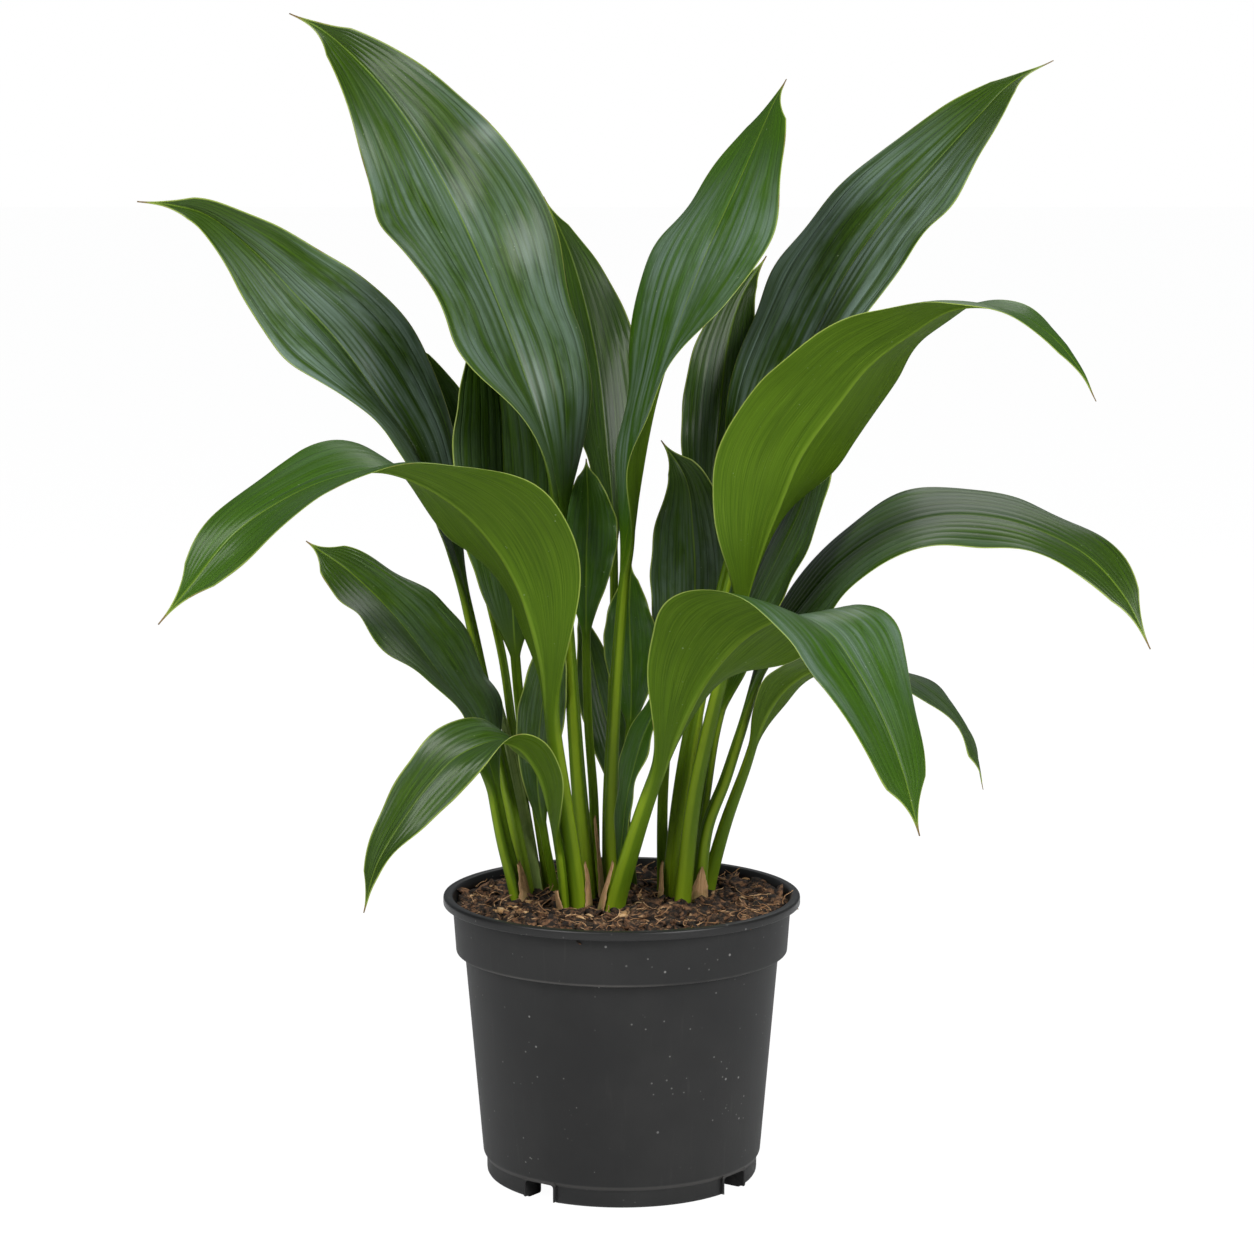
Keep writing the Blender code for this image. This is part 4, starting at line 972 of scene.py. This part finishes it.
    # Thickness: a grooved stalk that flattens into the blade, and the keel under the midrib.
    thin = LEAF_THICKNESS / 2 * (1 - 0.5 * tip)[:, None]
    arc = np.sqrt(np.clip(1 - u ** 2, 0, None))[None, :]
    open_col = opened[:, None]
    stalk_col = stalk_half[:, None]
    off = size * half_col
    top = stalk_col * (STALK_TOP * arc - STALK_GROOVE * np.exp(-(size / 0.4) ** 2)) * (1 - open_col)
    groove = GROOVE_DEPTH * np.exp(-(off / GROOVE_WIDTH) ** 2)
    top = top + open_col * (thin * arc ** 0.35 - groove)
    bottom = stalk_col * STALK_BELOW * arc * (1 - open_col)
    keel = (KEEL_AT_TIP + KEEL_RISE * (1 - np.clip(rows, 0, 1))) * np.exp(-(off / KEEL_WIDTH) ** 2)
    bottom = bottom + open_col * (thin * arc ** 0.35 + keel)

    def surface(raise_by):
        flat = across + normal_across * raise_by
        tall = up + normal_up * raise_by
        return points[:, None] + side[:, None] * flat[..., None] + upper[:, None] * tall[..., None]

    top_grid = surface(lift + top)[:, ::-1]
    bottom_grid = surface(lift - bottom)[:, 1:-1]
    mesh = tube_mesh(node + "_fine", np.concatenate([top_grid, bottom_grid], 1) * MM)

    # What the finish reads at every point.
    ring_u = np.concatenate([u[::-1], u[1:-1]])
    ring_under = np.concatenate([np.zeros(count), np.ones(count - 2)])
    on_stalk = np.clip((fractions - blade_from) / blade_from, -1, 0)
    along = np.where(t < 0, on_stalk, t)
    marks = np.empty((len(t), len(ring_u), 3), np.float32)
    marks[..., 0] = ring_u[None, :]
    marks[..., 1] = along[:, None]
    marks[..., 2] = ring_under[None, :]
    looks = np.empty_like(marks)
    looks[..., 0] = (half * MM)[:, None]
    looks[..., 1] = painted_sheen
    looks[..., 2] = random.uniform(0, 1)
    for key, value in (("leaf", marks), ("looks", looks)):
        mesh.attributes.new(key, "FLOAT_VECTOR", "POINT").data.foreach_set("vector", value.ravel())
    folds = np.concatenate([folds[:, ::-1], folds[:, 1:-1]], 1).astype(np.float32)
    mesh.attributes.new("pleat", "FLOAT", "POINT").data.foreach_set("value", folds.ravel())
    slot, finish = leaf_greens[tone]
    stalks[node] = (points, fractions)
    return piece(node + "_fine", mesh, finish, slot, node)


stalks = {}

leaf("leaf_tall_left", heading=-20, tone=DARK, painted_sheen=0.95, blade_from=0.36, width=98, widest=0.36,
     base_taper=1.0, tip_taper=1.1, roll=(60, 30, -40, -55), fold_left=(50, 8, 25, 45),
     fold_right=(50, 29, 15, 18, -8, 45), stalk=(13.0, 7.2),
     midrib=[(-16, -3, 147), (-22, 6, 211), (-29, 14, 306), (-36, 19, 370), (-54, 30, 431),
             (-74, 49, 480), (-98, 80, 528), (-121, 104, 563), (-144, 124, 589), (-167, 138, 608),
             (-184, 142, 616)])

leaf("leaf_tall_centre", heading=0, tone=BRIGHT, painted_sheen=1.0, blade_from=0.4, width=96, widest=0.45,
     base_taper=1.0, tip_taper=0.9, roll=(-75, -75, -45, -50), fold_left=(20, 12, 0),
     fold_right=(55, 5, 0), stalk=(12.0, 7.2),
     midrib=[(-7, 6, 147), (-7, 4, 200), (-3, 1, 275), (3, 0, 337), (10, 2, 376), (19, 8, 419),
             (38, 24, 472), (63, 48, 526), (79, 68, 562), (88, 78, 579)])

leaf("leaf_tall_right", heading=30, tone=DARK, painted_sheen=1.35, blade_from=0.4, width=98, widest=0.5,
     base_taper=1.0, tip_taper=1.4, roll=(-15, -18, -10, -5), fold_left=(45, 10, 25),
     fold_right=(50, 15, 12), stalk=(12.5, 7.4),
     midrib=[(26, -1, 147), (31, 4, 200), (38, 12, 242), (54, 24, 312), (76, 36, 389), (97, 46, 433),
             (122, 62, 479), (144, 76, 508), (167, 88, 532), (195, 104, 560), (215, 114, 579),
             (236, 118, 590)])

leaf("leaf_arching_right", heading=125, tone=BRIGHT, painted_sheen=0.35, blade_from=0.36, width=88, widest=0.32,
     base_taper=1.15, tip_taper=0.95, roll=(20, -20, 0, -10), fold_left=(40, 15, 5),
     fold_right=(18, 25, 0), stalk=(12.0, 8.0),
     midrib=[(31, -11, 147), (37, -14, 204), (48, -22, 258), (63, -37, 318), (80, -52, 363),
             (90, -60, 389), (107, -70, 415), (123, -80, 436), (142, -88, 451), (164, -96, 464),
             (190, -104, 463), (209, -108, 452), (224, -111, 435), (232, -112, 420)])

leaf("leaf_far_right", heading=100, tone=DARK, painted_sheen=0.35, blade_from=0.28, width=90, widest=0.35,
     base_taper=1.7, roll=(18, 20, 18, 45), fold_left=(5, 2, 15), fold_right=(2, 8, 2),
     stalk=(11.0, 5.4),
     midrib=[(40, -3, 147), (44, 0, 185), (54, 4, 211), (62, 7, 235), (76, 6, 277), (94, 2, 304),
             (114, -4, 328), (139, -12, 346), (165, -20, 354), (195, -30, 353), (219, -40, 346),
             (239, -50, 335), (255, -62, 317), (267, -72, 292)])

leaf("leaf_front_right", heading=130, tone=BRIGHT, painted_sheen=0.9, blade_from=0.25, width=98, widest=0.46,
     base_taper=1.8, tip_taper=1.05, roll=(15, -30, 0, 15), fold_left=(45, 15, 0),
     fold_right=(45, 8, 20), stalk=(14.0, 8.4),
     midrib=[(-5, -26, 147), (4, -34, 181), (17, -46, 222), (33, -60, 257), (47, -72, 282),
             (66, -86, 303), (86, -97, 312), (103, -106, 305), (115, -112, 289), (128, -118, 265),
             (139, -123, 236), (147, -127, 207)])

leaf("leaf_low_right", heading=110, tone=DARK, blade_from=0.36, width=80, widest=0.52, tip_taper=0.9,
     roll=(-35, -15, -8, -15), fold_left=(20, 6, 0), fold_right=(20, 4, 0), stalk=(9.6, 5.0),
     midrib=[(45, 12, 147), (54, 10, 183), (65, 5, 216), (75, -1, 246), (87, -6, 263), (104, -14, 274),
             (129, -24, 275), (154, -34, 268), (172, -42, 253), (182, -47, 234), (186, -51, 216)])

leaf("leaf_far_left", heading=-60, tone=DARK, painted_sheen=1.2, blade_from=0.38, width=76, widest=0.42,
     base_taper=1.8, tip_taper=1.4, roll=(0, -5, -50, -60), fold_left=(45, 25, 15),
     fold_right=(25, 25, 45), stalk=(10.0, 6.8),
     midrib=[(-50, 10, 147), (-57, 21, 182), (-65, 37, 217), (-73, 51, 249), (-82, 59, 290),
             (-90, 60, 323), (-101, 59, 355), (-113, 58, 383), (-130, 60, 409), (-151, 62, 438),
             (-173, 64, 462), (-199, 66, 489), (-223, 68, 507), (-241, 69, 512), (-260, 70, 514)])

leaf("leaf_arching_left", heading=-120, tone=BRIGHT, painted_sheen=0.2, blade_from=0.27, width=98, widest=0.4,
     base_taper=1.8, tip_taper=1.3, roll=(0, 20, 0, -60), fold_left=(50, 10, 0), fold_right=(30, 25, 5),
     stalk=(12.6, 8.4),
     midrib=[(-22, -20, 147), (-28, -27, 196), (-34, -36, 239), (-38, -42, 274), (-47, -50, 306),
             (-54, -54, 324), (-64, -60, 342), (-79, -66, 360), (-99, -73, 375), (-120, -80, 383),
             (-140, -86, 381), (-164, -92, 372), (-191, -98, 354), (-213, -103, 328), (-229, -105, 309)])

leaf("leaf_middle_left", heading=-50, tone=DARK, blade_from=0.3, width=86, widest=0.44,
     roll=(5, 15, 5, -30), fold_left=(35, 15, 0), fold_right=(10, 14, 12), stalk=(11.0, 7.6),
     midrib=[(-54, -1, 147), (-62, 1, 179), (-70, 4, 217), (-79, 7, 243), (-93, 12, 262),
             (-108, 19, 281), (-124, 26, 299), (-145, 34, 318), (-163, 40, 330), (-169, 42, 334)])

leaf("leaf_low_left", heading=-130, tone=DARK, painted_sheen=0.25, blade_from=0.2, width=36, widest=0.4,
     base_taper=1.0, tip_taper=0.85, roll=(-45, 10, -40, 0), fold_left=(45, 8, 30),
     fold_right=(12, 40, 12), stalk=(7.2, 5.6),
     midrib=[(-29, -26, 147), (-32, -32, 181), (-37, -40, 206), (-44, -48, 226), (-53, -56, 239),
             (-64, -62, 243), (-83, -72, 237), (-97, -78, 224), (-107, -83, 211), (-123, -90, 185),
             (-130, -94, 161)])

leaf("leaf_back_left", heading=-40, tone=DARK, blade_from=0.55, width=40, widest=0.5,
     midrib=[(-45, 23, 147), (-53, 39, 194), (-59, 54, 229), (-65, 68, 267), (-74, 80, 304),
             (-82, 90, 342), (-91, 100, 380), (-102, 106, 409), (-118, 110, 441)])

leaf("leaf_upright_left", heading=-10, tone=DARK, painted_sheen=0.25, blade_from=0.42, width=72, widest=0.52,
     base_taper=1.2, roll=(0, 5, 0, -35), fold_left=(18, 40, 45), fold_right=(17, 10, 50),
     stalk=(7.6, 5.4),
     midrib=[(-39, 30, 147), (-46, 33, 195), (-53, 35, 231), (-57, 38, 270), (-59, 41, 302),
             (-61, 44, 334), (-63, 46, 366), (-65, 48, 404), (-69, 50, 438), (-75, 54, 467)])

leaf("leaf_behind_tall_left", heading=-15, tone=DARK, painted_sheen=0.12, blade_from=0.5, width=52, widest=0.4,
     roll=(28, 20, 14, 10),
     midrib=[(-6, 18, 147), (-6, 28, 197), (-5, 42, 250), (-4, 54, 303), (-5, 64, 345), (-9, 74, 388),
             (-15, 88, 435), (-27, 104, 482), (-43, 118, 516)])

leaf("leaf_inner_left", heading=0, tone=BRIGHT, painted_sheen=0.2, blade_from=0.62, width=34, widest=0.55,
     stalk=(6.0, 4.6),
     midrib=[(-14, 12, 147), (-15, 20, 197), (-18, 27, 239), (-19, 32, 282), (-19, 36, 324),
             (-18, 39, 352), (-19, 43, 378)])

leaf("leaf_behind_tall_right", heading=10, tone=DARK, painted_sheen=0.35, blade_from=0.5, width=42, widest=0.5,
     midrib=[(32, 14, 147), (37, 30, 195), (42, 46, 247), (46, 58, 300), (49, 68, 353), (53, 76, 396),
             (57, 86, 434), (65, 94, 461), (79, 102, 484)])

leaf("leaf_middle_right", heading=0, tone=DARK, painted_sheen=0.6, blade_from=0.35, width=50, widest=0.55,
     midrib=[(22, 17, 147), (22, 24, 197), (25, 31, 229), (33, 38, 261), (39, 42, 304), (38, 43, 341),
             (34, 42, 368), (21, 40, 388)])

leaf("leaf_inner_right", heading=40, tone=DARK, blade_from=0.4, width=72, widest=0.45, base_taper=1.1,
     roll=(-22, -35, -28, -12), fold_left=(5, 3, 15), fold_right=(8, 3, 20), stalk=(7.0, 5.4),
     midrib=[(36, 6, 147), (44, 10, 199), (50, 14, 236), (59, 18, 268), (69, 22, 299), (83, 26, 328),
             (95, 30, 352), (105, 36, 381), (115, 44, 409)])

leaf("leaf_young_centre", heading=0, tone=BRIGHT, painted_sheen=0.2, blade_from=0.55, width=30, widest=0.5,
     base_taper=1.1, stalk=(5.8, 4.6),
     midrib=[(2, 19, 147), (1, 23, 186), (3, 26, 218), (5, 28, 246), (5, 30, 271), (4, 32, 298),
             (5, 34, 323)])

leaf("leaf_young_front", heading=60, tone=BRIGHT, painted_sheen=0.2, blade_from=0.2, width=22, widest=0.5,
     base_taper=1.1, stalk=(6.0, 4.6),
     midrib=[(-2, -14, 147), (0, -16, 177), (3, -20, 205), (10, -26, 235), (17, -31, 253),
             (24, -36, 271), (30, -40, 287)])

leaf("leaf_young_left", heading=0, tone=DARK, blade_from=0.3, width=26, widest=0.5, base_taper=1.1,
     stalk=(5.2, 4.0),
     midrib=[(-36, 19, 147), (-42, 17, 182), (-45, 14, 209), (-43, 8, 243), (-38, 3, 275),
             (-33, -1, 308)])

leaf("leaf_young_back", heading=0, tone=DARK, blade_from=0.3, width=26, widest=0.5, base_taper=1.1,
     stalk=(5.2, 4.0),
     midrib=[(6, 28, 147), (3, 38, 178), (-3, 54, 215), (-12, 64, 247), (-18, 70, 274), (-25, 75, 295)])

# ---------------------------------------------------------------- the scales round the stalks' feet
# Each stalk grows out of scale leaves. Most are dry: thin, fibrous, brown paper that has split into
# ragged points. The one on the back left stalk is still green. Lengths here are millimetres.

SHEATH_PALE = (0.600, 0.370, 0.190, 1.0)
SHEATH_TAN = (0.380, 0.200, 0.078, 1.0)
SHEATH_BROWN = (0.150, 0.085, 0.030, 1.0)
SHEATH_OLIVE = (0.120, 0.185, 0.030, 1.0)
SHEATH_LIGHT_GREEN = (0.260, 0.330, 0.090, 1.0)
SHEATH_FOOT = 140.0
SHEATH_HALF_THICKNESS = 0.22
SHEATH_ROWS = 48
SHEATH_POINTS = 23
SHEATH_TIP_WRAP = 9.0  # degrees
SHEATH_SPLIT = 0.22  # how far the splits reach down, as a share of the height
SOIL_AT_STALKS = 147.0


def sheath_finish(name, low, main, edge):
    """Upright fibres between three colours: at the foot, over most of it and along its edges."""
    paper = Finish(name)
    spot = paper.place()
    across, along, own = paper.parts(paper.attribute("leaf"))
    fibre_spot = paper.join(across * 22 + own * 13, along * 2.5 + own * 5, own)
    fibres = paper.mottle(fibre_spot, 1.0, 4, 0.6)
    blots = paper.mottle(spot, 160, 4, 0.6)
    colour = paper.mix(fibres.between(0.35, 0.65), main, edge)
    colour = paper.mix(blots.between(0.45, 0.75) * 0.7, colour, low)
    colour = paper.mix((1 - along.between(0.05, 0.60)) * (1 - abs(across).between(0.5, 0.95)) * 0.7, colour,
                       SHEATH_OLIVE)
    colour = paper.mix((1 - along.between(0.0, 0.25)) * 0.5, colour, low)
    colour = paper.mix(abs(across).between(0.78, 1.0) * 0.6, colour, edge)
    paper.feed(paper.shader, {
        "Base Color": colour,
        "Roughness": 0.62 + blots * 0.3,
        "Normal": paper.relief(fibres + blots * 0.3, 0.0004),
    })
    return paper


dry_paper = sheath_finish("dry_scale", SHEATH_BROWN, SHEATH_TAN, SHEATH_PALE)
green_scale = sheath_finish("green_scale", SHEATH_OLIVE, SHEATH_OLIVE, SHEATH_LIGHT_GREEN)


def sheath(node, stalk, facing, height, radius, spread, finish, slot, torn=0.5):
    """A scale round a stalk's foot that narrows to a ragged point.

    facing: where its middle looks, in degrees from the back (+Y) towards the right (+X).
    radius and spread: from the stalk's middle to the scale, and half the angle it wraps.
    """
    seed = sum(ord(letter) * (index + 3) for index, letter in enumerate(node)) % 997
    random = np.random.default_rng(seed)
    points = stalks[stalk][0]
    rows = SHEATH_ROWS
    count = SHEATH_POINTS
    top = SOIL_AT_STALKS + height
    levels = np.linspace(SHEATH_FOOT, top, rows)
    t = (levels - SHEATH_FOOT) / (top - SHEATH_FOOT)
    order = np.argsort(points[:, 2])
    centre = np.stack([np.interp(levels, points[order, 2], points[order, k]) for k in range(2)], 1)
    wrap = np.radians(eased(spread, t) * (1 - t ** 3) + SHEATH_TIP_WRAP * t ** 3)
    middle = eased(radius, t)
    phase = random.uniform(0, 2 * np.pi, 8)
    ragged = 1 + 0.10 * torn * np.sin(t * 23 + phase[0]) + 0.07 * torn * np.sin(t * 51 + phase[1])
    shares = np.linspace(-1, 1, count)
    angle = math.radians(facing) + (wrap * ragged)[:, None] * shares[None, :]
    split = np.abs(np.sin(3.5 * shares + phase[2]))[None, :]
    drop = (t ** 4)[:, None] * split * torn * SHEATH_SPLIT * height
    flutter = 0.16 * np.sin(shares * 9 + phase[3])[None, :] * t[:, None] ** 0.5
    flutter = flutter + 0.22 * np.sin(t * 9 + phase[4])[:, None] * np.abs(shares)[None, :] ** 2
    out = middle[:, None] + flutter * (0.4 + t[:, None])

    def skin(extra):
        distance = out + extra
        x = centre[:, :1] + np.sin(angle) * distance
        y = centre[:, 1:] + np.cos(angle) * distance
        return np.stack([x, y, levels[:, None] - drop], -1)

    outer = skin(SHEATH_HALF_THICKNESS)
    inner = skin(-SHEATH_HALF_THICKNESS)[:, ::-1]
    mesh = tube_mesh(node + "_fine", np.concatenate([outer, inner], 1) * MM)
    marks = np.empty((rows, 2 * count, 3), np.float32)
    marks[..., 0] = np.concatenate([shares, shares[::-1]])[None, :]
    marks[..., 1] = t[:, None]
    marks[..., 2] = random.uniform(0, 1)
    mesh.attributes.new("leaf", "FLOAT_VECTOR", "POINT").data.foreach_set("vector", marks.ravel())
    return piece(node + "_fine", mesh, finish, slot, node)


sheath("sheath_left", "leaf_middle_left", 125, 22, (6.2, 6.2), (60, 34), dry_paper, "dry_sheath")
sheath("sheath_low_left", "leaf_low_left", -120, 12, (4.5, 4.9), (58, 36), dry_paper, "dry_sheath")
sheath("sheath_arching_left", "leaf_arching_left", 110, 27, (7.1, 6.5), (44, 26), dry_paper, "dry_sheath")
sheath("sheath_front", "leaf_front_right", -100, 28, (7.8, 6.8), (50, 26), dry_paper, "dry_sheath")
sheath("sheath_tall_left", "leaf_tall_left", 110, 46, (7.3, 6.6), (34, 20), dry_paper, "dry_sheath")
sheath("sheath_far_right", "leaf_far_right", 170, 20, (6.3, 6.2), (58, 36), dry_paper, "dry_sheath")
sheath("sheath_tall_right", "leaf_tall_right", -110, 22, (7.0, 6.5), (38, 24), dry_paper, "dry_sheath")
sheath("sheath_back_left", "leaf_back_left", -135, 98, (4.4, 6.2), (80, 70), green_scale, "green_sheath",
       torn=0.1)
